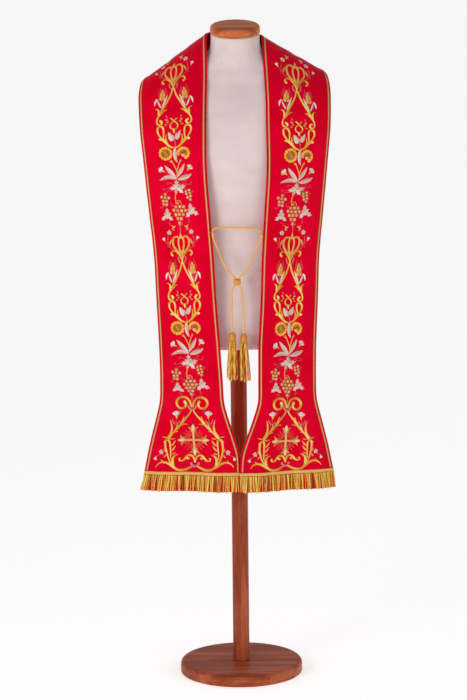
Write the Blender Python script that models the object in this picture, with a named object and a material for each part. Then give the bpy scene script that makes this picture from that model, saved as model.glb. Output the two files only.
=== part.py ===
"""A clerical stole on a limbless dress form.

Two lined satin halves joined by a seam at the nape, gold edge braid, a bullion fringe across each
hem, and a twisted tie cord with a sliding knot and two tassels.  The form is a cloth-covered torso
with a wooden neck cap, pole and round base.  Metres, +Z up, front towards -Y, origin on the floor.
"""
import math

import bmesh
import bpy
import numpy as np

for old in list(bpy.data.objects):
    bpy.data.objects.remove(old)

MM = 0.001
GAP = 0.3  # between pieces that are sewn or stacked
CLOTH = 2.2  # the stole's wall: satin, interlining and lining
BRAID_INSET, BRAID_WIDTH, BRAID_THICK = 4.5, 5.2, 0.9
FRINGE_STRANDS, FRINGE_LENGTH, HEADING_THICK = 78, 46.0, 2.0
CORD_D = 5.0
TASSEL_STRANDS = 24
HANG_X = -4.0  # the stole and its cord hang this far towards -X of the form's axis

# The stole from the seam at the nape to the hem, one row per section, in mm: inner edge, outer
# edge, bow (how far the middle stands out from the straight line), wave (depth of the soft fold
# across the section).  Then what sets the halves apart.  At +X: lap (how far the inner edge comes
# towards -X) and front (how far it stands in front).  At -X: tuck (inner edge towards the
# middle), lift (inner edge up) and drop (outer edge down).  Last, the mesh rows to the next.
STOLE = (
    # in_x  in_y   in_z  out_x out_y  out_z  bow  wave  lap front  tuck lift drop rows
    (0.0, 74.0, 1628.0, 0.0, 119.0, 1472.0, 7.0, 0.0, 0.0, 0.0, 0.0, 0.0, 0.0, 2),
    (27.0, 69.5, 1631.0, 52.0, 117.0, 1477.0, 8.0, 0.0, 0.0, 0.0, 0.0, 1.0, 0.0, 2),
    (49.0, 53.0, 1637.0, 108.0, 107.0, 1491.0, 9.0, 0.0, 0.0, 0.0, 0.0, 3.0, 3.0, 2),
    (62.0, 30.0, 1641.0, 160.0, 85.0, 1513.0, 9.0, 0.0, -2.0, 0.0, 0.0, 6.0, 8.0, 2),
    (67.0, 3.0, 1638.0, 203.0, 45.0, 1539.0, 8.0, 0.0, -3.0, 0.0, 0.0, 7.0, 12.0, 2),
    (68.0, -26.0, 1614.0, 227.0, 2.0, 1548.0, 8.0, 0.0, -3.0, 0.0, 0.5, 5.0, 14.0, 2),
    (70.0, -60.0, 1566.0, 237.5, -35.0, 1523.0, 9.0, 0.0, -3.0, 0.0, 2.0, 2.0, 12.0, 2),
    (73.0, -95.0, 1508.0, 238.5, -62.0, 1479.0, 11.0, 0.0, -2.0, 0.0, 2.5, 0.0, 7.0, 2),
    (75.0, -121.0, 1440.0, 236.5, -78.0, 1425.0, 12.0, 0.5, 0.0, 0.0, 2.5, 0.0, 2.0, 3),
    (75.5, -134.0, 1349.0, 229.0, -86.0, 1345.0, 11.0, 1.0, 0.0, 0.0, 2.5, 0.0, 0.0, 4),
    (68.0, -139.0, 1220.0, 217.0, -91.0, 1220.0, 9.0, 2.0, 0.0, 0.0, 2.5, 0.0, 0.0, 4),
    (61.0, -141.0, 1108.0, 206.0, -94.0, 1108.0, 8.0, 2.5, 0.0, 0.0, 3.0, 0.0, 0.0, 4),
    (57.0, -142.0, 1000.0, 201.5, -97.0, 1000.0, 8.0, 2.5, 0.0, 0.0, 4.5, 0.0, 0.0, 4),
    (50.0, -143.0, 874.0, 196.0, -100.0, 874.0, 8.0, 2.5, 0.0, 0.0, 6.0, 0.0, 0.0, 3),
    (46.0, -144.0, 790.0, 194.5, -102.0, 790.0, 8.0, 2.0, -3.0, 0.0, 7.0, 0.0, 0.0, 2),
    (42.5, -144.0, 736.0, 196.0, -102.0, 736.0, 8.0, 2.0, -4.5, 0.0, 7.0, 0.0, 0.0, 2),
    (29.5, -145.0, 690.0, 206.0, -100.0, 690.0, 8.0, 2.5, -4.0, 1.0, 6.0, 0.0, 0.0, 2),
    (16.0, -146.0, 649.0, 216.0, -97.0, 649.0, 8.0, 4.0, -2.5, 2.5, 5.0, 0.0, 0.0, 2),
    (4.0, -147.0, 604.0, 226.0, -92.0, 604.0, 8.0, 5.0, 0.0, 5.0, 5.0, 0.0, 0.0, 2),
    (2.0, -148.0, 558.6, 236.0, -87.0, 550.6, 8.0, 6.0, 2.0, 7.0, 5.0, 0.0, 0.0, 1),
    (2.0, -148.0, 557.6, 236.2, -87.0, 549.6, 8.0, 6.0, 2.0, 7.0, 5.0, 0.0, 0.0, 1),
    (2.0, -148.0, 551.6, 237.3, -86.7, 543.6, 8.0, 6.0, 2.0, 7.0, 5.0, 0.0, 0.0, 2),
    (2.0, -148.0, 509.0, 242.0, -85.0, 501.0, 8.0, 6.5, 2.0, 7.0, 5.0, 0.0, 0.0, 1),
)
HEADING_TOP, HEADING_FOOT = -4, -3  # rows of the mesh that the fringe's heading spans

# The tie cord's legs from the thread eyes to the tassels and the level stretch between the eyes,
# in mm: x from the stole's middle, how far in front of CORD_Y, z.
CORD_Y = -144.4
LEGS = {
    "left": (
        (-60.6, 0.0, 1179.7), (-60.5, 0.1, 1172.0), (-58.2, 0.5, 1161.0), (-50.1, 1.0, 1140.6),
        (-38.9, 1.5, 1111.7), (-30.8, 1.8, 1092.0), (-22.5, 2.0, 1078.4), (-14.8, 2.0, 1070.0),
        (-8.2, 2.0, 1063.6), (-5.5, 2.0, 1056.5), (-5.3, 2.0, 1051.0), (-5.5, 2.0, 1045.5),
        (-7.4, 2.0, 1039.5), (-11.2, 2.0, 1033.0), (-14.2, 2.0, 1026.0), (-15.5, 2.0, 1016.0),
        (-14.6, 2.0, 1003.0), (-15.2, 2.0, 985.0), (-15.8, 2.0, 965.0), (-14.8, 2.0, 940.0),
        (-14.2, 2.0, 921.6),
    ),
    "right": (
        (60.6, 0.0, 1172.7), (60.5, 0.1, 1166.0), (58.6, 0.5, 1158.0), (53.3, 1.0, 1144.0),
        (44.0, 1.4, 1121.5), (35.6, 1.6, 1103.5), (27.4, 1.8, 1087.0), (20.3, 2.0, 1076.6),
        (12.8, 2.0, 1069.4), (6.3, 2.0, 1063.4), (3.5, 2.0, 1056.5), (3.3, 2.0, 1051.0),
        (3.5, 2.0, 1045.5), (5.0, 2.0, 1039.5), (8.2, 2.0, 1032.5), (10.6, 2.0, 1022.0),
        (11.4, 2.0, 1007.0), (12.4, 2.0, 988.0), (13.7, 2.0, 969.0), (14.4, 2.0, 950.0),
        (14.1, 2.0, 917.8),
    ),
}
BRIDGE = (
    (-60.6, 0.0, 1180.0), (-60.6, 0.0, 1181.2), (-59.6, 0.1, 1184.8), (-57.3, 0.2, 1187.9),
    (-54.0, 0.35, 1189.8), (-49.0, 0.5, 1190.6), (-36.0, 0.8, 1190.9), (-19.0, 1.0, 1190.8),
    (0.0, 1.2, 1190.1), (18.0, 1.0, 1189.1), (34.0, 0.8, 1187.4), (46.0, 0.5, 1185.1),
    (54.2, 0.3, 1182.2), (57.6, 0.15, 1179.9), (59.8, 0.1, 1176.8), (60.6, 0.0, 1174.0),
    (60.6, 0.0, 1173.0),
)
EYES = {"left": (-61.2, 1179.8), "right": (61.2, 1172.8)}  # x from the stole's middle, z
KNOT_X, KNOT_Z, KNOT_FRONT = -1.0, 1051.0, 2.0
TASSELS = {"left": -1.5, "right": 3.0}  # how far each skirt leans towards +X at its foot

# The torso's rings from its foot to the top of the neck, in mm: height, half width, depth in
# front, depth behind, squareness of the ring.
TORSO = (
    # z      half  front back  square
    (862.0, 156.0, 98.0, 102.0, 2.3),
    (868.0, 163.0, 105.0, 109.0, 2.3),
    (905.0, 172.0, 112.0, 118.0, 2.3),
    (960.0, 173.0, 112.0, 118.0, 2.3),
    (1030.0, 164.0, 106.0, 108.0, 2.3),
    (1110.0, 157.0, 104.0, 100.0, 2.3),
    (1200.0, 164.0, 113.0, 103.0, 2.3),
    (1290.0, 179.0, 122.0, 108.0, 2.3),
    (1370.0, 193.0, 127.0, 111.0, 2.3),
    (1430.0, 205.0, 120.0, 109.0, 2.3),
    (1470.0, 213.0, 109.0, 106.0, 2.3),
    (1498.0, 214.0, 97.0, 100.0, 2.3),
    (1520.0, 207.0, 85.0, 92.0, 2.3),
    (1540.0, 189.0, 74.0, 83.0, 2.2),
    (1558.0, 162.0, 67.8, 75.0, 2.1),
    (1575.0, 121.0, 61.0, 70.0, 2.05),
    (1590.0, 88.5, 60.0, 67.0, 2.0),
    (1604.0, 71.5, 61.0, 65.0, 2.0),
    (1622.0, 63.5, 61.5, 63.0, 2.0),
    (1651.5, 61.5, 61.5, 61.5, 2.0),
)

CAP = ((0.0, 1651.9), (59.5, 1651.9), (61.8, 1653.4), (62.3, 1656.0), (62.3, 1664.0),
       (61.2, 1668.6), (57.6, 1672.2), (51.6, 1673.4), (0.0, 1673.4))
BASE = ((0.0, 0.0), (150.4, 0.0), (152.6, 2.0), (152.6, 20.0), (151.2, 25.6), (147.2, 29.2),
        (141.0, 30.2), (0.0, 30.2))
POLE_D, POLE_FOOT, POLE_TOP = 41.0, 30.5, 861.7


def material(name, colour, rough, metal=0.0):
    m = bpy.data.materials.new(name)
    m.use_nodes = True
    b = m.node_tree.nodes["Principled BSDF"]
    b.inputs["Base Color"].default_value = (*colour, 1.0)
    b.inputs["Roughness"].default_value = rough
    b.inputs["Metallic"].default_value = metal
    m.diffuse_color = (*colour, 1.0)
    return m


RED = material("red_satin", (0.62, 0.005, 0.012), 0.5)
GOLD = material("gold_braid", (0.62, 0.36, 0.07), 0.4, 0.3)
BULLION = material("gold_bullion", (0.68, 0.40, 0.03), 0.4, 0.3)
CORD = material("gold_cord", (0.60, 0.34, 0.06), 0.5, 0.2)
THREAD = material("pale_thread", (0.70, 0.50, 0.28), 0.7)
COVER = material("beige_cover", (0.58, 0.42, 0.40), 0.85)
WOOD = material("varnished_wood", (0.40, 0.13, 0.05), 0.35)


def add(name, verts, faces, mat, smooth=True):
    """One closed solid from points in mm."""
    me = bpy.data.meshes.new(name)
    me.from_pydata([tuple(float(c) * MM for c in v) for v in verts], [], faces)
    bm = bmesh.new()
    bm.from_mesh(me)
    bmesh.ops.recalc_face_normals(bm, faces=bm.faces)
    if bm.calc_volume(signed=True) < 0:
        bmesh.ops.reverse_faces(bm, faces=bm.faces)
    bm.to_mesh(me)
    bm.free()
    me.polygons.foreach_set("use_smooth", [smooth] * len(me.polygons))
    ob = bpy.data.objects.new(name, me)
    bpy.context.scene.collection.objects.link(ob)
    me.materials.append(mat)
    return ob


def run_through(points, counts):
    """A smooth run through table rows, with counts[k] steps after row k."""
    p = np.asarray(points, float)
    h = np.maximum(np.linalg.norm(np.diff(p[:, :6], axis=0), axis=1), 1e-6)
    d = np.diff(p, axis=0) / h[:, None]
    m = np.empty_like(p)
    m[0], m[-1] = d[0], d[-1]
    m[1:-1] = (d[1:] * h[:-1, None] + d[:-1] * h[1:, None]) / (h[1:] + h[:-1])[:, None]
    out = []
    for k in range(len(h)):
        for i in range(counts[k]):
            s = i / counts[k]
            a, b = 2 * s**3 - 3 * s**2 + 1, s**3 - 2 * s**2 + s
            out.append(a * p[k] + b * h[k] * m[k] + (1 - a) * p[k + 1]
                       + (s**3 - s**2) * h[k] * m[k + 1])
    return np.array(out + [p[-1]])


def unit(v):
    return v / np.maximum(np.linalg.norm(v, axis=-1, keepdims=True), 1e-9)


def stole_grid(side):
    """Points and outward normals of the stole's face, rows by columns; side is -1 or 1."""
    table = np.array(STOLE)
    rows = run_through(table[:, :13], [int(n) for n in table[:, 13]])
    inner, outer = rows[:, 0:3].copy(), rows[:, 3:6].copy()
    bow, wave, lap, front, tuck, lift, drop = rows[:, 6:].T
    if side > 0:
        inner[:, 0] -= lap
        inner[:, 1] -= front
        outer[:, 1] -= front * 0.3
    else:
        inner[:, 0] -= tuck
        inner[:, 2] += lift
        outer[:, 2] -= drop
    inner[0, 0] = outer[0, 0] = GAP / 2
    chord = outer - inner
    width = np.linalg.norm(chord, axis=1)
    along = unit(np.gradient((inner + outer) / 2, axis=0))
    out = unit(np.cross(along, chord))
    a, b = BRAID_INSET, BRAID_INSET + BRAID_WIDTH
    w = width[:, None]
    cols = np.concatenate([0 * w, a + 0 * w, b + 0 * w,
                           b + (w - 2 * b) * np.linspace(0, 1, 7)[None, 1:-1],
                           w - b, w - a, w], axis=1) / w
    stand = 4 * cols * (1 - cols) * bow[:, None]
    stand += np.sin(cols * 2 * math.pi * 1.25 + 0.6) * np.sin(cols * math.pi) * wave[:, None]
    p = inner[:, None] + chord[:, None] * cols[..., None] + out[:, None] * stand[..., None]
    p[0, :, 0] = GAP / 2
    n = unit(np.cross(np.gradient(p, axis=0), np.gradient(p, axis=1)))
    n[0, :, 0] = 0
    n = unit(n)
    return p * (side, 1, 1) + (HANG_X, 0, 0), n * (side, 1, 1)


def sheet(name, outer, inner, mat):
    """A closed solid between two grids of points."""
    r, c = outer.shape[:2]
    verts = np.concatenate([outer.reshape(-1, 3), inner.reshape(-1, 3)])
    top = np.arange(r * c).reshape(r, c)
    low = top + r * c
    faces = []
    for i in range(r - 1):
        for j in range(c - 1):  # every sheet is split along the same diagonal
            a, b, d, e = top[i, j], top[i, j + 1], top[i + 1, j + 1], top[i + 1, j]
            faces += [(a, b, d), (a, d, e)]
    faces += [tuple(f + r * c for f in q[::-1]) for q in faces]
    for i in range(r - 1):
        for j in (0, c - 1):
            faces.append((top[i, j], top[i + 1, j], low[i + 1, j], low[i, j]))
    for j in range(c - 1):
        for i in (0, r - 1):
            faces.append((top[i, j], top[i, j + 1], low[i, j + 1], low[i, j]))
    return add(name, verts, faces, mat)


def on_grid(p, n, row, across):
    """The face's point and normal at a share of the width between its columns."""
    width = np.concatenate([[0], np.cumsum(np.linalg.norm(np.diff(p[row], axis=0), axis=1))])
    at = np.interp(across * width[-1], width, np.arange(len(width)))
    j = min(int(at), len(width) - 2)
    f = at - j
    return p[row, j] * (1 - f) + p[row, j + 1] * f, unit(n[row, j] * (1 - f) + n[row, j + 1] * f)


def fringe(name, p, n, seed):
    """A narrow heading strip with strands that hang from its underside, fused at their roots."""
    rng = np.random.default_rng(seed)
    cells = 2 * FRINGE_STRANDS + 1
    pitch = 1.0 / FRINGE_STRANDS
    edges = [0.0]
    for k in range(FRINGE_STRANDS):
        edges += [(k + 0.14) * pitch, (k + 0.86) * pitch]
    edges.append(1.0)
    verts, faces = [], []
    for e in edges:
        a, na = on_grid(p, n, HEADING_TOP, e)
        b, nb = on_grid(p, n, HEADING_FOOT, e)
        verts += [a + na * GAP, a + na * (GAP + HEADING_THICK),
                  b + nb * (GAP + HEADING_THICK), b + nb * GAP]
    for k in range(cells):
        q, r = 4 * k, 4 * k + 4
        for i in (0, 1, 3):
            faces.append((q + i, r + i, r + (i + 1) % 4, q + (i + 1) % 4))
        if k % 2 == 0:
            faces.append((q + 2, r + 2, r + 3, q + 3))
            continue
        across = (edges[k] + edges[k + 1]) / 2
        root = np.array([verts[q + 2], verts[r + 2], verts[r + 3], verts[q + 3]])
        mid = root.mean(0)
        foot, out = on_grid(p, n, HEADING_FOOT, across)
        down = unit(on_grid(p, n, -1, across)[0] - foot)
        length = FRINGE_LENGTH + rng.uniform(-2.5, 2.0)
        sway = rng.uniform(-0.35, 0.35)
        side = unit(root[1] - root[0])
        last = [q + 2, r + 2, r + 3, q + 3]
        for share, size in ((0.5, 1.0), (1.0, 0.8)):
            centre = mid + down * length * share + out * 0.5 * share + side * sway * share**2
            ring = centre + (root - mid) * size
            start = len(verts)
            verts += list(ring)
            new = [start, start + 1, start + 2, start + 3]
            faces += [(last[i], last[(i + 1) % 4], new[(i + 1) % 4], new[i]) for i in range(4)]
            last = new
        faces.append(tuple(last))
    faces += [(0, 1, 2, 3), tuple(4 * cells + i for i in range(4))]
    return add(name, verts, faces, BULLION, smooth=False)


def cord(name, route, mat):
    """A round tube along a smooth run through a route's points, with filled ends."""
    p = np.array([(HANG_X + x, CORD_Y - front, z) for x, front, z in route])
    seg = np.linalg.norm(np.diff(p, axis=0), axis=1)
    counts = [max(1, round(s / (2.2 * CORD_D))) for s in seg]
    run = run_through(np.hstack([p, np.zeros_like(p)]), counts)[:, :3]
    cu = bpy.data.curves.new(name, "CURVE")
    cu.dimensions = "3D"
    cu.bevel_depth = CORD_D / 2 * MM
    cu.bevel_resolution = 2
    cu.use_fill_caps = True
    sp = cu.splines.new("POLY")
    sp.points.add(len(run) - 1)
    for q, v in zip(sp.points, run):
        q.co = (*(float(c) * MM for c in v), 1.0)
    ob = bpy.data.objects.new(name, cu)
    bpy.context.scene.collection.objects.link(ob)
    cu.materials.append(mat)
    return ob


def turned(name, profile, sides, mat):
    """A solid of revolution from (radius, height) in mm; it starts and ends on the axis."""
    verts, faces = [], []
    rings = profile[1:-1]
    for r, z in rings:
        for k in range(sides):
            a = 2 * math.pi * k / sides
            verts.append((r * math.cos(a), r * math.sin(a), z))
    for i in range(len(rings) - 1):
        for k in range(sides):
            m = (k + 1) % sides
            faces.append((i * sides + k, i * sides + m, (i + 1) * sides + m, (i + 1) * sides + k))
    faces.append(tuple(range(sides)))
    faces.append(tuple((len(rings) - 1) * sides + k for k in range(sides)))
    return add(name, verts, faces, mat)


def tassel(name, x, y, top, lean, seed):
    """A covered head with two rings of strands fused into its underside; lean is at their foot."""
    rng = np.random.default_rng(seed)
    outer, inner = 16, TASSEL_STRANDS - 16
    sides = 32
    head = ((2.6, top), (5.6, top - 1.6), (7.8, top - 5.5), (8.6, top - 11.0), (8.0, top - 15.0),
            (6.9, top - 17.0), (8.4, top - 19.5), (9.0, top - 22.0))
    verts, faces = [], []
    for r, z in head:
        for k in range(sides):
            a = 2 * math.pi * (k - 0.5) / sides
            verts.append((x + r * math.cos(a), y + r * math.sin(a), z))
    for i in range(len(head) - 1):
        for k in range(sides):
            m = (k + 1) % sides
            faces.append((i * sides + k, i * sides + m, (i + 1) * sides + m, (i + 1) * sides + k))
    faces.append(tuple(range(sides)))
    foot = (len(head) - 1) * sides
    z0 = head[-1][1]
    ring_in = len(verts)
    for k in range(sides):
        a = 2 * math.pi * (k - 0.5) / sides
        verts.append((x + 6.0 * math.cos(a), y + 6.0 * math.sin(a), z0))
    ring_core = len(verts)
    for k in range(sides):
        a = 2 * math.pi * (k - 0.5) / sides
        verts.append((x + 3.4 * math.cos(a), y + 3.4 * math.sin(a), z0))

    def strand(quad, angle, spread, length):
        last = list(quad)
        root = np.array([verts[i] for i in quad])
        mid = root.mean(0)
        out = np.array((math.cos(angle), math.sin(angle), 0.0))
        for share, push, size in ((0.35, 0.75, 1.25), (1.0, 1.0, 1.15)):
            centre = mid + out * spread * push + np.array((lean * share, 0, -length * share))
            start = len(verts)
            verts.extend(list(centre + (root - mid) * size))
            new = [start + i for i in range(4)]
            faces.extend((last[i], last[(i + 1) % 4], new[(i + 1) % 4], new[i]) for i in range(4))
            last = new
        faces.append(tuple(last))

    for k in range(sides):
        m = (k + 1) % sides
        ring1 = (foot + k, foot + m, ring_in + m, ring_in + k)
        ring2 = (ring_in + k, ring_in + m, ring_core + m, ring_core + k)
        a = 2 * math.pi * k / sides
        if k % 2 == 0:
            strand(ring1, a, 4.2, 101.0 + rng.uniform(-3, 1))
            faces.append(ring2)
        elif k % 4 == 1:
            faces.append(ring1)
            strand(ring2, a, 2.6, 99.0 + rng.uniform(-3, 1))
        else:
            faces += [ring1, ring2]
    faces.append(tuple(ring_core + k for k in range(sides)))
    return add(name, verts, faces, BULLION, smooth=False)


def ring(name, centre, hole, wall, height, mat, around=24, square=2.4):
    """An upright oval ring: hole and wall are half sizes across and front to back, in mm."""
    verts, faces = [], []
    prof = ((0.0, -0.42), (0.25, -0.5), (0.7, -0.4), (1.0, -0.15), (1.0, 0.15), (0.7, 0.4),
            (0.25, 0.5), (0.0, 0.42))
    for k in range(around):
        a = 2 * math.pi * k / around
        c, s = math.cos(a), math.sin(a)
        cx = math.copysign(abs(c) ** (2 / square), c)
        cy = math.copysign(abs(s) ** (2 / square), s)
        for w, h in prof:
            verts.append((centre[0] + cx * hole[0] + c * wall[0] * w,
                          centre[1] + cy * hole[1] + s * wall[1] * w, centre[2] + h * height))
    m = len(prof)
    for k in range(around):
        for i in range(m):
            q, r = k * m, ((k + 1) % around) * m
            faces.append((q + i, q + (i + 1) % m, r + (i + 1) % m, r + i))
    return add(name, verts, faces, mat)


def loft(name, table, sides, mat):
    """The torso: rings that are wider than deep, closed flat at both ends."""
    rows = run_through(np.hstack([np.array(table), np.zeros((len(table), 1))]), [1] * (len(table) - 1))
    verts, faces = [], []
    for z, half, front, back, square, _ in rows:
        for k in range(sides):
            a = 2 * math.pi * (k + 0.5) / sides
            c, s = math.cos(a), math.sin(a)
            verts.append((half * math.copysign(abs(c) ** (2 / square), c),
                          (back if s > 0 else front) * math.copysign(abs(s) ** (2 / square), s), z))
    for i in range(len(rows) - 1):
        for k in range(sides):
            m = (k + 1) % sides
            faces.append((i * sides + k, i * sides + m, (i + 1) * sides + m, (i + 1) * sides + k))
    faces.append(tuple(range(sides)))
    faces.append(tuple((len(rows) - 1) * sides + k for k in range(sides)))
    return add(name, verts, faces, mat)


# The stole's halves, their edge braids and fringes
for side, word in ((-1, "left"), (1, "right")):
    p, n = stole_grid(side)
    sheet(f"stole_{word}", p, p - n * CLOTH, RED)
    stop = len(p) + HEADING_TOP  # the braids end just above the fringe's heading
    for edge, cols in (("inner", (1, 3)), ("outer", (-3, -1))):
        strip, out = p[:stop, cols[0]:cols[1]], n[:stop, cols[0]:cols[1]]
        sheet(f"edge_braid_{word}_{edge}", strip + out * (GAP + BRAID_THICK), strip + out * GAP, GOLD)
    fringe(f"fringe_{word}", p, n, 3 + side)

# The tie cord: two legs through the sliding knot, the level stretch, thread eyes and tassels
for word, seed in (("left", 10), ("right", 12)):
    cord(f"tie_cord_{word}", LEGS[word], CORD)
    foot_x, foot_front, foot_z = LEGS[word][-1]
    tassel(f"tassel_{word}", HANG_X + foot_x, CORD_Y - foot_front, foot_z - GAP, TASSELS[word], seed)
    eye_x, eye_z = EYES[word]
    ring(f"cord_loop_{word}", (HANG_X + eye_x, CORD_Y, eye_z), (4.2, 2.9), (1.2, 1.2), 1.6, THREAD,
         around=16, square=2.0)
cord("tie_cord_bridge", BRIDGE, CORD)
ring("slide_knot", (HANG_X + KNOT_X, CORD_Y - KNOT_FRONT, KNOT_Z), (8.0, 3.4), (1.2, 3.8), 14.0,
     CORD, around=24, square=3.2)

# The dress form
loft("form_torso", TORSO, 30, COVER)
turned("form_neck_cap", CAP, 48, WOOD)
turned("form_pole", ((0, 0), (POLE_D / 2, POLE_FOOT), (POLE_D / 2, POLE_TOP), (0, 0)), 28, WOOD)
turned("form_base", BASE, 48, WOOD)
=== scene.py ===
"""A clerical stole of crimson satin, embroidered and fringed, hung on a limbless dress form."""
import math

import bmesh
import bpy
import numpy as np
from mathutils import Euler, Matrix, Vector


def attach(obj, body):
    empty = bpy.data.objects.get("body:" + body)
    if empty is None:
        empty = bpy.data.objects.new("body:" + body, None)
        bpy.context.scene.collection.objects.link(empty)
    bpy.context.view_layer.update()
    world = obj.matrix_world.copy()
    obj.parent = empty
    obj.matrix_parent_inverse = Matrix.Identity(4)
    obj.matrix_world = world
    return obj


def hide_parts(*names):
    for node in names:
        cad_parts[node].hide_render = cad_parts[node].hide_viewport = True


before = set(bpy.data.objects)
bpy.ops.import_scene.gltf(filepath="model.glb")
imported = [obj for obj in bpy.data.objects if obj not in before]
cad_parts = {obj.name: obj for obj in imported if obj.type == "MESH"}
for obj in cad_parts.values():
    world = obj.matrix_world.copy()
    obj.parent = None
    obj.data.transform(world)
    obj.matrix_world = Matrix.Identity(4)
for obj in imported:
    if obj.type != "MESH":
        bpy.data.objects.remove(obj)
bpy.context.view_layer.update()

# ---------------------------------------------------------------------------------------------
# Camera: a long lens 30 m away, looking down by 15 degrees at the form's middle.
# The roll is the small lean of a stand that doesn't stand quite plumb.
CAMERA_ELEVATION, CAMERA_AZIMUTH, CAMERA_ROLL = math.radians(15.3), math.radians(-1.5), math.radians(0.6)
CAMERA_DISTANCE, FRAME_HEIGHT = 30.0, 1.750
LOOK_AT = Vector((-0.012, 0.0, 0.836))

camera_data = bpy.data.cameras.new("long_lens")
camera_data.lens = camera_data.sensor_width * CAMERA_DISTANCE / FRAME_HEIGHT
camera_data.clip_start, camera_data.clip_end = 1.0, 100.0
camera = bpy.data.objects.new("camera", camera_data)
bpy.context.scene.collection.objects.link(camera)
bpy.context.scene.camera = camera
toward = Vector((
    math.sin(CAMERA_AZIMUTH) * math.cos(CAMERA_ELEVATION),
    -math.cos(CAMERA_AZIMUTH) * math.cos(CAMERA_ELEVATION),
    math.sin(CAMERA_ELEVATION),
))
camera.location = LOOK_AT + toward * CAMERA_DISTANCE
camera.rotation_mode = "QUATERNION"
camera.rotation_quaternion = (
    (-toward).to_track_quat("-Z", "Y") @ Euler((0.0, 0.0, -CAMERA_ROLL)).to_quaternion()
)

# ---------------------------------------------------------------------------------------------
# The room: a matt white floor lit from within, a dimmer even sky and two soft lamps at chest
# height, the nearer one to the left.


def paint(hex_colour):
    """An sRGB hex colour as linear RGBA."""
    parts = [int(hex_colour[i:i + 2], 16) / 255 for i in (1, 3, 5)]
    return (*(c / 12.92 if c <= 0.04045 else ((c + 0.055) / 1.055) ** 2.4 for c in parts), 1.0)


def new_material(name, **constants):
    """A Principled material and its shader, with constants set on the shader's own sockets."""
    material = bpy.data.materials.new(name)
    material.use_nodes = True
    shader = material.node_tree.nodes["Principled BSDF"]
    for key, value in constants.items():
        shader.inputs[key.replace("_", " ")].default_value = value
    return material, shader


def add_node(material, kind, put=None, out=0, **settings):
    """Adds a node and gives its output named or numbered out; put gives its inputs by name or
    number, as a value or as a socket to link."""
    made = material.node_tree.nodes.new("ShaderNode" + kind)
    for key, value in settings.items():
        setattr(made, key, value)
    for key, value in (put or {}).items():
        if isinstance(value, bpy.types.NodeSocket):
            material.node_tree.links.new(value, made.inputs[key])
        else:
            made.inputs[key].default_value = value
    return made.outputs[out]


FLOOR_HALF = 14.0
floor_bm = bmesh.new()
bmesh.ops.create_grid(floor_bm, x_segments=1, y_segments=1, size=FLOOR_HALF)
floor_mesh = bpy.data.meshes.new("floor")
floor_bm.to_mesh(floor_mesh)
floor_bm.free()
floor = bpy.data.objects.new("floor", floor_mesh)
bpy.context.scene.collection.objects.link(floor)
# Emulsion paint, rolled: even and without gloss
floor_paint, _ = new_material("matt_white_paint", Base_Color=paint("#F7F7F7"), Roughness=0.9,
                              Emission_Color=paint("#FFFFFF"), Emission_Strength=0.5)
floor_mesh.materials.append(floor_paint)

sky = bpy.data.worlds.new("pale_sky")
sky.use_nodes = True
sky.node_tree.nodes["Background"].inputs["Color"].default_value = paint("#FFFFFF")
sky.node_tree.nodes["Background"].inputs["Strength"].default_value = 0.45
bpy.context.scene.world = sky
bpy.context.scene.view_settings.view_transform = "Standard"

LAMPS = (
    # name, place, aimed at, size, all in metres, then watts, spread in degrees
    ("key_lamp", (-1.9, -2.4, 1.6), (0.0, 0.0, 1.38), 1.1, 7.8, 90),
    ("fill_lamp", (2.6, -3.0, 1.4), (0.0, 0.0, 1.2), 1.8, 9.0, 180),
)
for lamp_name, place, aim, size, watts, spread in LAMPS:
    lamp_data = bpy.data.lights.new(lamp_name, "AREA")
    lamp_data.size, lamp_data.energy, lamp_data.spread = size, watts, math.radians(spread)
    lamp = bpy.data.objects.new(lamp_name, lamp_data)
    bpy.context.scene.collection.objects.link(lamp)
    lamp.location = place
    lamp.rotation_mode = "QUATERNION"
    lamp.rotation_quaternion = (Vector(aim) - Vector(place)).to_track_quat("-Z", "Y")

# ---------------------------------------------------------------------------------------------
# Tie cord: a three-ply twisted rayon cord of 5 mm.  Its legs run from a thread eye on each inner
# edge down through the sliding knot to the tassels, and a level stretch joins the two eyes.
MM, GAP = 0.001, 0.3  # GAP is left between pieces that are sewn or stacked, in mm
HANG_X = -4.0  # the stole and its cord hang this far left of the form's axis, in mm
CORD_D, CORD_Y, CORD_PLIES, CORD_LAY = 5.0, -144.4, 3, 12.0  # mm; the lay is one turn of a ply
LEGS = {
    # x from the stole's middle, y in front of CORD_Y, z
    "left": (
        (-60.6, 0, 1179.7), (-60.5, 0.1, 1172), (-58.2, 0.5, 1161), (-50.1, 1, 1140.6),
        (-38.9, 1.5, 1111.7), (-30.8, 1.8, 1092), (-22.5, 2, 1078.4), (-14.8, 2, 1070),
        (-8.2, 2, 1063.6), (-5.5, 2, 1056.5), (-5.3, 2, 1051), (-5.5, 2, 1045.5),
        (-7.4, 2, 1039.5), (-11.2, 2, 1033), (-14.2, 2, 1026), (-15.5, 2, 1016),
        (-14.6, 2, 1003), (-15.2, 2, 985), (-15.8, 2, 965), (-14.8, 2, 940),
        (-14.2, 2, 921.6),
    ),
    "right": (
        (60.6, 0, 1172.7), (60.5, 0.1, 1166), (58.6, 0.5, 1158), (53.3, 1, 1144),
        (44, 1.4, 1121.5), (35.6, 1.6, 1103.5), (27.4, 1.8, 1087), (20.3, 2, 1076.6),
        (12.8, 2, 1069.4), (6.3, 2, 1063.4), (3.5, 2, 1056.5), (3.3, 2, 1051),
        (3.5, 2, 1045.5), (5, 2, 1039.5), (8.2, 2, 1032.5), (10.6, 2, 1022),
        (11.4, 2, 1007), (12.4, 2, 988), (13.7, 2, 969), (14.4, 2, 950),
        (14.1, 2, 917.8),
    ),
}
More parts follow.
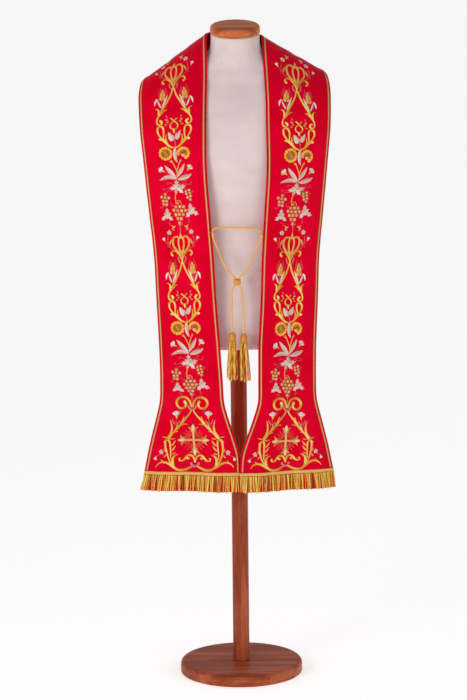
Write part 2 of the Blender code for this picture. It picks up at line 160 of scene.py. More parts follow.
BRIDGE = (
    (-60.6, 0, 1180), (-60.6, 0, 1181.2), (-59.6, 0.1, 1184.8), (-57.3, 0.2, 1187.9),
    (-54, 0.35, 1189.8), (-49, 0.5, 1190.6), (-36, 0.8, 1190.9), (-19, 1, 1190.8),
    (0, 1.2, 1190.1), (18, 1, 1189.1), (34, 0.8, 1187.4), (46, 0.5, 1185.1),
    (54.2, 0.3, 1182.2), (57.6, 0.15, 1179.9), (59.8, 0.1, 1176.8), (60.6, 0, 1174),
    (60.6, 0, 1173),
)


def unit(v):
    return v / np.maximum(np.linalg.norm(v, axis=-1, keepdims=True), 1e-9)


def smooth_run(points, count, lead=3):
    """A smooth run through table rows, with count steps between rows; the first lead columns
    set the spacing, and the rest follow."""
    p = np.asarray(points, float)
    h = np.maximum(np.linalg.norm(np.diff(p[:, :lead], axis=0), axis=1), 1e-6)
    d = np.diff(p, axis=0) / h[:, None]
    m = np.empty_like(p)
    m[0], m[-1] = d[0], d[-1]
    m[1:-1] = (d[1:] * h[:-1, None] + d[:-1] * h[1:, None]) / (h[1:] + h[:-1])[:, None]
    s = (np.arange(count) / count)[:, None]
    a = 2 * s**3 - 3 * s**2 + 1
    out = [a * p[k] + (s**3 - 2 * s**2 + s) * h[k] * m[k] + (1 - a) * p[k + 1]
           + (s**3 - s**2) * h[k] * m[k + 1] for k in range(len(h))]
    return np.vstack(out + [p[-1:]])


def lengths(line):
    """How far along a line each of its points is."""
    return np.concatenate([[0], np.cumsum(np.linalg.norm(np.diff(line, axis=0), axis=1))])


def spaced(line, step):
    """The same line with points about a step apart."""
    run = lengths(line)
    at = np.linspace(0, run[-1], max(4, round(run[-1] / step)) + 1)
    return np.stack([np.interp(at, run, c) for c in line.T], 1)


def thread_mesh():
    """An empty mesh, and its layer for what thread patterns follow: run, side and tone."""
    bm = bmesh.new()
    return bm, bm.verts.layers.float_vector.new("thread")


BALLS = {}  # a ball for each number of rings and sides that is asked for


def ball(rings, sides):
    """A ball with a pole at each end of its rings, and the ring and angle of each point."""
    if (rings, sides) not in BALLS:
        bm, _ = thread_mesh()
        bmesh.ops.create_uvsphere(bm, u_segments=sides, v_segments=rings - 1, radius=1.0)
        mesh = bpy.data.meshes.new("ball")
        bm.to_mesh(mesh)
        bm.free()
        co = np.empty(3 * len(mesh.vertices))
        mesh.vertices.foreach_get("co", co)
        x, y, z = co.reshape(-1, 3).T
        row = np.rint(np.arccos(np.clip(-z, -1, 1)) / math.pi * (rings - 1)).astype(int)
        BALLS[rings, sides] = mesh, row, np.arctan2(y, x)
    return BALLS[rings, sides]


def draw_out(bm, line, up, half, rise, sink, tone=0.5, sides=8, vee=0.0, lobes=None):
    """Adds a ball drawn out along a line in mm: half its width, its rise above the line and its
    sink below are numbers or one value a point.  vee slants the thread away from the middle."""
    mesh, row, angle = ball(len(line), sides)
    along = unit(np.gradient(line, axis=0))
    across = unit(np.cross(up, along))
    up = unit(np.cross(along, across))
    run = lengths(line)[row]
    half, rise, sink, tone = (np.broadcast_to(x, len(line))[row] for x in (half, rise, sink, tone))
    body = (row > 0) & (row < len(line) - 1)
    grow = body if lobes is None else body * lobes(run, angle)
    side, lift = np.cos(angle) * half * grow, np.sin(angle) * grow
    lift = np.where(lift > 0, lift * rise, lift * sink)
    place = (line[row] + across[row] * side[:, None] + up[row] * lift[:, None]) * MM
    mesh.vertices.foreach_set("co", place.ravel())
    keep = np.stack([run + vee * np.abs(side), side, tone], 1)
    mesh.attributes["thread"].data.foreach_set("vector", keep.ravel())
    bm.from_mesh(mesh, face_normals=False, vertex_normals=False)


def add_piece(bm, name, material, slot, *nodes):
    """Makes the mesh a piece that rides on the part, in place of any nodes it stands for."""
    mesh = bpy.data.meshes.new(name)
    bm.to_mesh(mesh)
    bm.free()
    mesh.polygons.foreach_set("use_smooth", [True] * len(mesh.polygons))
    mesh.materials.append(material)
    piece = bpy.data.objects.new(name, mesh)
    bpy.context.scene.collection.objects.link(piece)
    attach(piece, "root")
    if nodes:
        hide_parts(*nodes)
    return piece


def colour_ramp(material, shader, factor, *stops):
    """The base colour from a ramp through (position, hex colour) stops."""
    colour = add_node(material, "ValToRGB", {"Fac": factor})
    elements = colour.node.color_ramp.elements
    while len(elements) < len(stops):
        elements.new(0.5)
    for element, (position, hex_colour) in zip(elements, stops):
        element.position, element.color = position, paint(hex_colour)
    material.node_tree.links.new(colour, shader.inputs["Base Color"])


def raise_surface(material, shader, height, strength, depth):
    """Relief of a depth in mm from a height socket."""
    bump = add_node(material, "Bump", {"Height": height, "Strength": strength, "Distance": depth * MM})
    material.node_tree.links.new(bump, shader.inputs["Normal"])


def thread_material(name, dark, middle, light, pitch, slant=0.0, relief=0.5, **constants):
    """Threads laid side by side across the run, pitch mm apart: each is a little lighter or
    darker than the next, round the tone that the layer gives."""
    material, shader = new_material(name, **constants)
    thread = add_node(material, "Attribute", out="Vector", attribute_name="thread")
    run, side, tone = add_node(material, "SeparateXYZ", {0: thread}).node.outputs
    along = add_node(material, "Math", {0: side, 1: slant, 2: run}, operation="MULTIPLY_ADD")
    phase = add_node(material, "Math", {0: along, 1: 2 * math.pi / pitch}, operation="MULTIPLY")
    wave = add_node(material, "Math", {0: phase}, operation="SINE")
    uneven = add_node(material, "TexNoise", {"Vector": thread, "Scale": 0.35 / pitch, "Detail": 2.0})
    # painted shade and painted highlight: the colour follows the same wave that raises the relief, so
    # each thread's crown is lighter and the groove between threads darker
    shade = add_node(material, "Math", {0: wave, 1: 0.10, 2: tone}, operation="MULTIPLY_ADD")
    shade = add_node(material, "Math", {0: uneven, 1: 0.5, 2: shade}, operation="MULTIPLY_ADD")
    shade = add_node(material, "Math", {0: shade, 1: 0.25}, operation="SUBTRACT")
    colour_ramp(material, shader, shade, (0.0, dark), (0.5, middle), (1.0, light))
    raise_surface(material, shader, wave, relief, pitch * 0.25)
    return material


# Viscose rayon, twisted: a silky yellow gold whose plies shade each other
cord_gold = thread_material("twisted_gold_rayon", "#B0681C", "#F8B658", "#FFEEAE", 1.3, slant=0.8,
                            relief=0.4, Roughness=0.42, Metallic=0.15)


def plies(run, angle):
    """How far the plies stand out as they wind round the cord."""
    return 0.93 + 0.07 * np.cos(CORD_PLIES * angle - run / CORD_LAY * 2 * math.pi)


def tie_cord(name, route, node):
    """One stretch of the cord and its middle line in metres."""
    points = [(HANG_X + x, CORD_Y - front, z) for x, front, z in route]
    line = spaced(smooth_run(points, 12), 0.9)
    bm, _ = thread_mesh()
    draw_out(bm, line, (0.0, -1.0, 0.0), CORD_D / 2, CORD_D / 2, CORD_D / 2, sides=18, lobes=plies)
    return add_piece(bm, name, cord_gold, "gold_cord", node), line * MM


legs = {word: tie_cord(f"tie_cord_leg_{word}", LEGS[word], f"tie_cord_{word}") for word in LEGS}
level, level_line = tie_cord("tie_cord_level", BRIDGE, "tie_cord_bridge")

# ---------------------------------------------------------------------------------------------
# Sliding knot and thread eyes: the knot is a small bead wound with gold thread, top to bottom
# through its hole, that both legs run through; each eye is a worked loop sewn to the inner edge.
KNOT_X, KNOT_Z = -1.0, 1051.0  # x from the stole's middle, z; in mm
BEAD_AROUND, BEAD_ROWS, BEAD_RIBS = 72, 28, 26
EYES = {"left": (-61.2, 1179.8), "right": (61.2, 1172.8)}  # x from the stole's middle, z

# Rayon floss wound close: smoother and shinier than the cord
wound_gold = thread_material("wound_gold_floss", "#8E4A0A", "#E8982A", "#FFE48C", 1.0,
                             relief=0.5, Roughness=0.32, Metallic=0.25)


def shape_grid(bm, layer, points, keep):
    """A grid shaped to rows and columns of points in mm, with keep in its layer."""
    rows, cols = points.shape[:2]
    grid = bmesh.ops.create_grid(bm, x_segments=cols - 1, y_segments=rows - 1, size=1.0)
    for v in grid["verts"]:
        j = round((v.co.x + 1) / 2 * (cols - 1))
        i = round((1 - v.co.y) / 2 * (rows - 1))
        v.co = points[i, j] * MM
        v[layer] = keep[i, j]


def wound_ring(name, node, centre, hole, wall, height, tone):
    """An upright oval ring, closed both ways; hole and wall are half sizes, in mm."""
    turn = np.linspace(0, 2 * math.pi, BEAD_AROUND + 1)[None, :]
    belly = np.linspace(0, 2 * math.pi, BEAD_ROWS + 1)[:, None]
    out = 0.5 - 0.5 * np.cos(belly)  # 0 in the hole, 1 at the belly
    ribs = 1 + 0.035 * np.cos(turn * BEAD_RIBS)
    x = np.cos(turn) * (hole[0] + wall[0] * out * ribs)
    y = np.sin(turn) * (hole[1] + wall[1] * out * ribs)
    z = np.sign(np.sin(belly)) * np.abs(np.sin(belly)) ** 0.8 * height / 2 + 0 * turn
    points = np.stack([x, y, z], -1) + np.array(centre)
    run = turn * (hole[0] + wall[0]) + 0 * belly
    bm, layer = thread_mesh()
    shape_grid(bm, layer, points, np.stack([run, 0 * run, tone + 0 * run], -1))
    bmesh.ops.remove_doubles(bm, verts=bm.verts, dist=1e-6)
    bmesh.ops.recalc_face_normals(bm, faces=bm.faces)
    return add_piece(bm, name, wound_gold, "gold_cord", node)


knot = wound_ring("sliding_knot", "slide_knot", (HANG_X + KNOT_X, CORD_Y - 2.0, KNOT_Z),
                  (8.0, 3.4), (1.2, 3.8), 14.0, 0.5)
eyes = {word: wound_ring(f"thread_eye_{word}", f"cord_loop_{word}", (HANG_X + x, CORD_Y, z),
                         (4.2, 2.9), (1.2, 1.2), 1.6, 0.4) for word, (x, z) in EYES.items()}

# ---------------------------------------------------------------------------------------------
# Tassels: a covered head with a bound neck on each leg, and a skirt of twisted rayon strands,
# 100 mm long, gathered into the head and parted into five locks.
HEAD = (
    # radius, mm below the top
    (2.6, 0.0), (5.6, 1.6), (7.8, 5.5), (8.6, 11.0), (8.0, 15.0), (6.9, 17.0), (8.4, 19.5), (9.0, 22.0),
)
HEAD_CLOSED = ((6, 22.6), (0, 22.8))  # the head's underside, hidden in the skirt
BINDING, BINDING_HALF, BINDING_RISE = 17.0, 1.6, 0.5  # the neck's binding, mm below the top
TASSELS = {
    # how far the skirt leans to the right at its foot, in mm, and the seed of its strands
    "left": (-1.5, 4), "right": (3.0, 6),
}
SKIRT = (
    # strands, radius at the head, radius below, mm long
    (22, 7.6, 12.0, 101.0), (15, 5.2, 8.2, 103.0), (7, 2.4, 4.0, 100.0),
)
SKIRT_TOP, LOCKS, STRAND_D, STRAND_LAY = 20.6, 5, 2.5, 7.0  # mm, apart from the locks

# Lustrous twisted rayon: deep amber in the hollows and light yellow on the crowns, as painted shade and
# painted highlight
strand_gold = thread_material("lustrous_twisted_rayon", "#A84004", "#FF9C12", "#FFDC5C", 1.2,
                              slant=0.9, relief=0.5, Roughness=0.3)


def two_ply(run, angle):
    return 0.92 + 0.08 * np.cos(2 * angle - run / STRAND_LAY * 4 * math.pi)


def strand(bm, line, up, width, tone):
    """One twisted strand along a line, with a rounded end."""
    past = np.clip((np.arange(len(line)) - len(line) + 2.6) / 2, 0, 0.97)
    thick = width / 2 * np.sqrt(1 - past**2)
    draw_out(bm, line, up, thick, 0.75 * thick, 0.75 * thick, tone=tone, sides=7, lobes=two_ply)


for word, (lean, seed) in TASSELS.items():
    rng = np.random.default_rng(seed)
    x, front, z = LEGS[word][-1]
    foot = np.array([HANG_X + x, CORD_Y - front, z - GAP])
    profile = np.vstack([[(0, 0)], smooth_run(HEAD, 6, lead=2), HEAD_CLOSED])
    line = foot - np.stack([0 * profile[:, 0], 0 * profile[:, 0], profile[:, 1]], 1)
    bm, _ = thread_mesh()
    bound = np.abs(profile[:, 1] - BINDING) < BINDING_HALF
    r = profile[:, 0] + BINDING_RISE * bound
    draw_out(bm, line, (0.0, -1.0, 0.0), r, r, r, tone=0.45 + 0.1 * bound, sides=36,
             lobes=lambda run, angle: 1 + 0.03 * np.cos(18 * angle + run * 0.5))
    add_piece(bm, f"tassel_head_{word}", wound_gold, "gold_bullion", f"tassel_{word}")

    bm, _ = thread_mesh()
    for count, near, far, long in SKIRT:
        for k in range(count):
            a = 2 * math.pi * (k + rng.uniform(-0.2, 0.2)) / count
            out = np.array([math.cos(a), math.sin(a), 0.0])
            in_lock = LOCKS * a + near  # the strands swing towards their lock's middle
            swing = rng.uniform(-1.5, 1.5) + 2.0 * math.cos(in_lock)
            swing = np.array([-out[1], out[0], 0.0]) * swing
            t = np.linspace(0, 1, 26)[:, None]
            drop = (long + rng.uniform(-4.0, 1.5)) * t
            wander = rng.uniform(0.4, 1.2) * np.sin(t * rng.uniform(5, 12) + rng.uniform(0, 6))
            line = (foot - (0, 0, SKIRT_TOP) - (0, 0, 1) * drop + swing * t**1.5 + (lean, 0, 0) * t**1.3
                    + out * (near + (far - near) * np.sin(t * 1.9) / np.sin(1.9) + wander * t))
            # painted shade: each lock is given its lightest tone in its middle and darker tones between
            # locks
            shade = 0.6 + 0.36 * math.sin(in_lock)  # a lock is lightest in its middle
            # painted highlight: bright bands at different heights along each strand
            painted_gleam = 0.35 * np.sin(t[:, 0] * 17 + 3 * math.sin(LOCKS * a) + rng.uniform(-0.6, 0.6))
            strand(bm, line, out, STRAND_D, shade + painted_gleam + rng.uniform(-0.25, 0.25))
    add_piece(bm, f"tassel_skirt_{word}", strand_gold, "gold_bullion")

# ---------------------------------------------------------------------------------------------
# The stole's cloth: two lined halves of crimson duchesse satin, 150 to 175 mm wide and flaring
# to 250 mm at the hem, sewn together at the nape.  Each half is satin, interlining and lining
# in one 2.2 mm wall, and all its trimmings are laid out on the same face.
CLOTH = 2.2
STOLE = (
    # inner x, y, z, outer x, y, z, how far the width bows out and waves; then for the right
    # half its lap over the middle and how far that stands in front, and for the left half its
    # inner edge's tuck and lift and its outer edge's drop
    (0, 74, 1628, 0, 119, 1472, 7, 0, 0, 0, 0, 0, 0),
    (27, 69.5, 1631, 52, 117, 1477, 8, 0, 0, 0, 0, 1, 0),
    (49, 53, 1637, 108, 107, 1491, 9, 0, 0, 0, 0, 3, 3),
    (62, 30, 1641, 160, 85, 1513, 9, 0, -2, 0, 0, 6, 8),
    (67, 3, 1638, 203, 45, 1539, 8, 0, -3, 0, 0, 7, 12),
    (68, -26, 1614, 227, 2, 1548, 8, 0, -3, 0, 0.5, 5, 14),
    (70, -60, 1566, 237.5, -35, 1523, 9, 0, -3, 0, 2, 2, 12),
    (73, -95, 1508, 238.5, -62, 1479, 11, 0, -2, 0, 2.5, 0, 7),
    (75, -121, 1440, 236.5, -78, 1425, 12, 0.5, 0, 0, 2.5, 0, 2),
    (75.5, -134, 1349, 229, -86, 1345, 11, 1, 0, 0, 2.5, 0, 0),
    (68, -139, 1220, 217, -91, 1220, 9, 2, 0, 0, 2.5, 0, 0),
    (61, -141, 1108, 206, -94, 1108, 8, 2.5, 0, 0, 3, 0, 0),
    (57, -142, 1000, 201.5, -97, 1000, 8, 2.5, 0, 0, 4.5, 0, 0),
    (50, -143, 874, 196, -100, 874, 8, 2.5, 0, 0, 6, 0, 0),
    (46, -144, 790, 194.5, -102, 790, 8, 2, -3, 0, 7, 0, 0),
    (42.5, -144, 736, 196, -102, 736, 8, 2, -4.5, 0, 7, 0, 0),
    (29.5, -145, 690, 206, -100, 690, 8, 2.5, -4, 1, 6, 0, 0),
    (16, -146, 649, 216, -97, 649, 8, 4, -2.5, 2.5, 5, 0, 0),
    (4, -147, 604, 226, -92, 604, 8, 5, 0, 5, 5, 0, 0),
    (2, -148, 558.6, 236, -87, 550.6, 8, 6, 2, 7, 5, 0, 0),
    (2, -148, 557.6, 236.2, -87, 549.6, 8, 6, 2, 7, 5, 0, 0),
    (2, -148, 551.6, 237.3, -86.7, 543.6, 8, 6, 2, 7, 5, 0, 0),
    (2, -148, 509, 242, -85, 501, 8, 6.5, 2, 7, 5, 0, 0),
)
CREASES = (
    # half, across and along at one end, at the other end, depth, width; all in mm
    (-1, -60, 150, 55, 262, 0.9, 9),
    (-1, 62, 96, 8, 214, 0.8, 11),
    (-1, -52, 1010, -18, 1200, 0.7, 9),
    (-1, -70, 1215, -58, 1340, 1.1, 10),
    (-1, 22, 1232, 40, 1344, 1.3, 9),
    (-1, 92, 1200, 78, 1340, 1, 12),
    (-1, -12, 1262, -26, 1344, 0.8, 7),
    (-1, -64, 40, 60, 92, 0.9, 12),
    (1, 60, 148, -48, 250, 0.9, 10),
    (1, -60, 104, -14, 196, 0.7, 10),
    (1, 58, 980, 30, 1150, 0.7, 10),
    (1, 74, 1205, 60, 1340, 1.1, 11),
    (1, -20, 1226, -44, 1344, 1.2, 9),
    (1, -96, 1190, -84, 1340, 0.9, 12),
    (1, 16, 1250, 30, 1344, 0.8, 8),
    (1, 66, 30, -58, 84, 0.9, 12),
)
CLOTH_ROWS, CLOTH_COLS = 340, 44  # points down and across a half


def sag(side, a, b):
    """How far the lined satin lies off its smooth form, in mm: the creases, and a shallow ripple
    where close stitching draws it in."""
    out = 0.28 * np.sin(b / 17.0 + 1.3 * np.sin(a / 21.0) + side) * np.sin(a / 13.0 + b / 41.0)
    for half, a0, b0, a1, b1, depth, width in CREASES:
        if half == side:
            long = math.hypot(a1 - a0, b1 - b0)
            u, v = (a1 - a0) / long, (b1 - b0) / long
            t = ((a - a0) * u + (b - b0) * v) / long
            off = (a - a0) * v - (b - b0) * u + 5.0 * np.sin(3 * t)
            fade = np.clip(t * (1 - t) * 4, 0, 1) ** 0.7
            out = out - depth * fade * (np.exp(-(off / width) ** 2)
                                        - 0.45 * np.exp(-((off - 1.9 * width) / width) ** 2))
    return out


def faces_out(p):
    """The outward normals of a half's face; both halves meet squarely at the nape."""
    n = unit(np.cross(np.gradient(p, axis=0), np.gradient(p, axis=1)))
    n[0, :, 0] = 0
    return unit(n)


def spaced_rows(rows, count):
    """Table rows made even along the half's middle line."""
    run = lengths((rows[:, 0:3] + rows[:, 3:6]) / 2)
    at = np.linspace(0, run[-1], count)
    return np.stack([np.interp(at, run, c) for c in rows.T], 1)


def lay_out(side):
    """The face of one half: its points and normals, and where each lies in the flat cloth, as
    mm to the right of the middle and mm down from the nape."""
    rows = spaced_rows(smooth_run(STOLE, 24, lead=6), CLOTH_ROWS)
    inner, outer = rows[:, 0:3].copy(), rows[:, 3:6].copy()
    if side > 0:
        inner[:, :2] -= rows[:, 8:10]
        outer[:, 1] -= rows[:, 9] * 0.3
    else:
        inner[:, 0] -= rows[:, 10]
        inner[:, 2] += rows[:, 11]
        outer[:, 2] -= rows[:, 12]
    chord = outer - inner
    out = unit(np.cross(unit(np.gradient((inner + outer) / 2, axis=0)), chord))
    share = np.linspace(0, 1, CLOTH_COLS)[None]
    stand = 4 * share * (1 - share) * rows[:, 6:7]
    stand = stand + np.sin(share * 2.5 * math.pi + 0.6) * np.sin(share * math.pi) * rows[:, 7:8]
    p = inner[:, None] + chord[:, None] * share[..., None] + out[:, None] * stand[..., None]
    p[0, :, 0] = GAP / 2
    across = np.cumsum(np.linalg.norm(np.diff(p, axis=1), axis=2), axis=1)
    across = side * (np.hstack([0 * across[:, :1], across]) - across[:, -1:] / 2)
    down = lengths(p[:, CLOTH_COLS // 2])[:, None] + 0 * across
    p = p + faces_out(p) * (sag(side, across, down) * np.clip(down / 30, 0, 1))[..., None]
    n = faces_out(p)
    return p * (side, 1, 1) + (HANG_X, 0, 0), n * (side, 1, 1), across, down


LAID = {side: lay_out(side) for side in (-1, 1)}


def on_cloth(side, a, b, lift=0.0):
    """Points and normals a mm to the right of a half's middle and b mm down, lift mm off it."""
    p, n, across, down = LAID[side]
    r = np.interp(b, down[:, 0], np.arange(len(down)))
    i = np.minimum(r.astype(int), len(down) - 2)
    f = (r - i)[:, None]
    edge = np.interp(r, np.arange(len(across)), across[:, -1])
    c = np.clip(0.5 + 0.5 * a / edge, 0, 1) * (CLOTH_COLS - 1)
    j = np.minimum(c.astype(int), CLOTH_COLS - 2)
    g = (c - j)[:, None]

    def blend(q):
        return ((q[i, j] * (1 - g) + q[i, j + 1] * g) * (1 - f)
                + (q[i + 1, j] * (1 - g) + q[i + 1, j + 1] * g) * f)

    normal = unit(blend(n))
    return blend(p) + normal * np.reshape(lift, (-1, 1)), normal


# Duchesse satin: polyester floats lie side by side, so it is a deep even crimson with a soft
# gloss and faint lines down its length.  They are drawn every 1.1 mm, coarser than real, to show.
FLOAT_PITCH, WAVE_UNIT = 1.1, 0.314  # mm; a wave texture's scale is WAVE_UNIT over its pitch
satin, satin_shader = new_material("crimson_duchesse_satin", Roughness=0.4, Specular_IOR_Level=0.12,
                                   Specular_Tint=paint("#FF2840"))
lie = add_node(satin, "Attribute", out="Vector", attribute_name="thread")
floats = add_node(satin, "TexWave", {"Vector": lie, "Scale": WAVE_UNIT / FLOAT_PITCH,
                                     "Distortion": 0.8, "Detail": 1.0},
                  out="Fac", wave_type="BANDS", bands_direction="X")
drawn = add_node(satin, "Mapping", {"Vector": lie, "Scale": (0.9, 0.05, 1.0)})
slubs = add_node(satin, "TexNoise", {"Vector": drawn, "Scale": 1.0, "Detail": 3.0})
patches = add_node(satin, "TexNoise", {"Vector": lie, "Scale": 0.012, "Detail": 2.0})
shade = add_node(satin, "Math", {0: slubs, 1: 0.35, 2: patches}, operation="MULTIPLY_ADD")
colour_ramp(satin, satin_shader, shade, (0.35, "#CE001D"), (0.65, "#DE0027"), (0.95, "#EA0030"))
height = add_node(satin, "Math", {0: floats, 1: 0.5, 2: slubs}, operation="MULTIPLY_ADD")
raise_surface(satin, satin_shader, height, 0.22, 0.25)

halves, trimmings = {}, {"left": [], "right": []}
SIDES = (("left", -1), ("right", 1))
for word, side in SIDES:
    p, _, across, down = LAID[side]
    bm, layer = thread_mesh()
    shape_grid(bm, layer, p, np.stack([across, down, 0 * down], -1))
    bm.normal_update()
    if sum(f.normal.y for f in bm.faces) > 0:  # the panels face forward, so the face must too
        bmesh.ops.reverse_faces(bm, faces=bm.faces)
    halves[word] = add_piece(bm, f"stole_cloth_{word}", satin, "red_satin", f"stole_{word}")
    wall = halves[word].modifiers.new("wall", "SOLIDIFY")
    wall.thickness, wall.offset = CLOTH * MM, -1.0

# ---------------------------------------------------------------------------------------------
# Edge braid: a flat gold galloon 5.2 mm wide, stitched down 4.5 mm in from the long edges of
# each half, in two plies whose slants meet in the middle.
BRAID_INSET, BRAID_WIDTH, BRAID_THICK, BRAID_PITCH, BRAID_POINTS = 4.5, 5.2, 0.9, 1.5, 620
BRAID_FOOT = 554.6  # the height of the braids' ends, just above the fringe's heading

# Metallised rayon, braided: straw gold, with painted shade darkening it towards both edges
galloon, galloon_shader = new_material("gold_galloon", Roughness=0.45, Metallic=0.1)
lie = add_node(galloon, "Attribute", out="Vector", attribute_name="thread")
run, aside, _ = add_node(galloon, "SeparateXYZ", {0: lie}).node.outputs
away = add_node(galloon, "Math", {0: aside}, operation="ABSOLUTE")
slant = add_node(galloon, "Math", {0: away, 1: 1.1, 2: run}, operation="MULTIPLY_ADD")
phase = add_node(galloon, "Math", {0: slant, 1: 2 * math.pi / BRAID_PITCH}, operation="MULTIPLY")
herring = add_node(galloon, "Math", {0: phase}, operation="SINE")
# painted shade: the braid is darker towards its edges than in its middle, and its herringbone ridges are
# lighter than their grooves
shade = add_node(galloon, "Math", {0: away, 1: -0.30, 2: 0.82}, operation="MULTIPLY_ADD")
shade = add_node(galloon, "Math", {0: herring, 1: 0.12, 2: shade}, operation="MULTIPLY_ADD")
colour_ramp(galloon, galloon_shader, shade, (0.1, "#A23C18"), (0.5, "#E4883C"), (0.9, "#FFD494"))
raise_surface(galloon, galloon_shader, herring, 0.5, 0.4)


def flat_braid(run, angle):
    """A flat strip's section: square shoulders, and a shallow groove between the two plies."""
    c, s = np.abs(np.cos(angle)), np.abs(np.sin(angle))
    return np.minimum(1 / np.maximum(c, 0.05), 1 / np.maximum(s, 0.05)) * (0.9 + 0.1 * c)


for word, side in SIDES:
    p, _, across, down = LAID[side]
    stop = down[np.argmin(np.abs(p[:, CLOTH_COLS // 2, 2] - BRAID_FOOT)), 0]
    for edge, sign in (("inner", -side), ("outer", side)):
        b = np.linspace(0.4, stop - 1.0, BRAID_POINTS)
        a = sign * (np.interp(b, down[:, 0], np.abs(across[:, 0])) - BRAID_INSET - BRAID_WIDTH / 2)
        line, up = on_cloth(side, a, b, GAP)
        bm, _ = thread_mesh()
        draw_out(bm, line, up, BRAID_WIDTH / 2, BRAID_THICK, 0.0, sides=16, lobes=flat_braid)
        trimmings[word].append(add_piece(bm, f"galloon_{word}_{edge}", galloon, "gold_braid",
                                         f"edge_braid_{word}_{edge}"))

# ---------------------------------------------------------------------------------------------
# Embroidery: raised satin stitch in rayon and metal threads.  A scroll of palmette, wheat,
# flowers, vine leaves and grapes is worked twice down each half, over a cross in scrolls at the
# end.  Every motif is drawn from its own regular curves, and each thread makes one piece.
THREADS = {
    # thread: dark, middle, light, mm between stitches, mm high, roughness, metallic, slot
    "bright": ("#9C5C08", "#F4B428", "#FFF68E", 1.1, 1.15, 0.30, 0.10, "gold_bullion"),
    "old": ("#B4621C", "#EEA03A", "#FFD278", 1.1, 0.90, 0.40, 0.05, "gold_bullion"),
    "yellow": ("#D07A06", "#FFB01C", "#FFE058", 1.1, 0.80, 0.38, 0.0, "gold_bullion"),
    "brown": ("#7A2C0C", "#B65A1C", "#E89A36", 1.0, 0.95, 0.42, 0.0, "gold_bullion"),
    "copper": ("#C04A2C", "#E8804C", "#FFB680", 1.0, 0.95, 0.42, 0.0, "gold_bullion"),
    "cream": ("#AC6A2C", "#EEB668", "#FFF4C4", 1.0, 1.10, 0.36, 0.0, "gold_bullion"),
    "silver": ("#B08272", "#E2B8A8", "#FFF2E4", 1.1, 0.80, 0.36, 0.0, "pale_thread"),
    "ivory": ("#C4A898", "#E6DECC", "#FFFFF6", 1.0, 0.80, 0.36, 0.0, "pale_thread"),
    "white": ("#B48A82", "#DEC8C0", "#FFFFFF", 1.0, 0.85, 0.40, 0.0, "pale_thread"),
    "rose": ("#A03C46", "#B85A60", "#D48880", 1.0, 0.50, 0.50, 0.0, "pale_thread"),
}
STITCH_STEP, STITCH_SINK = 1.35, 0.35  # mm between a stroke's points, and into the satin
CURVE_PULL = 0.39  # a curve's handles, as a share of the way between its stations
# painted highlight: stitches that run along this heading are given lighter tones
PAINTED_GLINT_AT = 1.1  # the heading of the stitches that shine most, in radians


def width_along(kind, t, run, width):
    """Half the stitching's width along a stroke, by the stroke's kind."""
    end = np.minimum(run, run[-1] - run) / (0.5 * width)
    blunt = np.sqrt(np.clip(1 - np.clip(1 - end, 0, 1) ** 2, 0.05, 1))
    shape = {
        "even": blunt,
        "leaf": np.sin(math.pi * t**0.85) ** 0.8,
        "petal": np.sin(math.pi * t**1.6) ** 0.6,
        "horn": (1 - t) ** 0.6 * (0.75 + 0.25 * blunt),
        "spear": t**1.3,
        "swell": (0.5 + 0.5 * np.sin(math.pi * t) ** 1.2) * blunt,
        "flare": (0.55 + 0.45 * np.clip(1.5 * t, 0, 1) ** 1.5) * blunt,
        "volute": (0.68 + 0.24 * np.sin(math.pi * np.clip(t * 1.25, 0, 1)) + 0.7 * t**12) * blunt,
        "berry": np.sqrt(np.clip(1 - (2 * t - 1) ** 2, 0, 1)),
    }[kind]
    return 0.5 * width * np.maximum(shape, 0.04)


def stroke_line(stations, curl):
    """A smooth line through (x, y, heading in degrees) stations, y down; curl is (radius, turns)
    of a closing spiral, turning right when turns is positive."""
    line = []
    for (x0, y0, h0), (x1, y1, h1) in zip(stations, stations[1:]):
        pull = math.hypot(x1 - x0, y1 - y0) * CURVE_PULL
        p0, p3 = np.array((x0, y0)), np.array((x1, y1))
        p1 = p0 + pull * np.array((math.cos(math.radians(h0)), math.sin(math.radians(h0))))
        p2 = p3 - pull * np.array((math.cos(math.radians(h1)), math.sin(math.radians(h1))))
        t = np.linspace(0, 1, 17)[:-1, None]
        line.append(p0 * (1 - t) ** 3 + 3 * p1 * t * (1 - t) ** 2 + 3 * p2 * t**2 * (1 - t) + p3 * t**3)
    line = np.vstack(line + [np.array(stations[-1][:2])])
    if curl:
        radius, turns = curl
        sweep = np.linspace(0, abs(turns) * 2 * math.pi, 40)
        heading = math.radians(stations[-1][2]) + sweep * math.copysign(1, turns)
        step = radius * (1 - 0.6 * sweep / sweep[-1]) * np.gradient(sweep)
        spiral = np.cumsum(np.stack([np.cos(heading), np.sin(heading)], 1) * step[:, None], axis=0)
        line = np.vstack([line, line[-1] + spiral])
    return line


def mirrored(strokes):
    """The same strokes and their mirror images in the middle line."""
    return strokes + [(thread, kind, width, line * (-1, 1), tone)
                      for thread, kind, width, line, tone in strokes]


def stroke(thread, kind, width, *stations, curl=None, tone=0.5):
    return [(thread, kind, width, stroke_line(stations, curl), tone)]


def stem(*stations):
    return stroke("rose", "even", 1.3, *stations)


def veined(thread, width, *stations, tone=0.5):
    """A leaf stitched in two halves that meet at its midrib, one lighter than the other."""
    line = spaced(stroke_line(stations, None), STITCH_STEP)
    flow = unit(np.gradient(line, axis=0))
    open_by = 0.22 * np.sin(math.pi * np.linspace(0, 1, len(line)))[:, None]
    off = flow[:, ::-1] * (-1, 1) * width * open_by
    return [(thread, "leaf", width * 0.62, line + off, tone + 0.16),
            (thread, "leaf", width * 0.62, line - off, tone - 0.12)]


def placed(strokes, x, y, turn=0.0, size=1.0):
    """The same strokes turned clockwise by degrees, sized and moved."""
    c, s = math.cos(math.radians(turn)), math.sin(math.radians(turn))
    return [(thread, kind, width * size, line @ np.array([[c, s], [-s, c]]) * size + (x, y), tone)
            for thread, kind, width, line, tone in strokes]


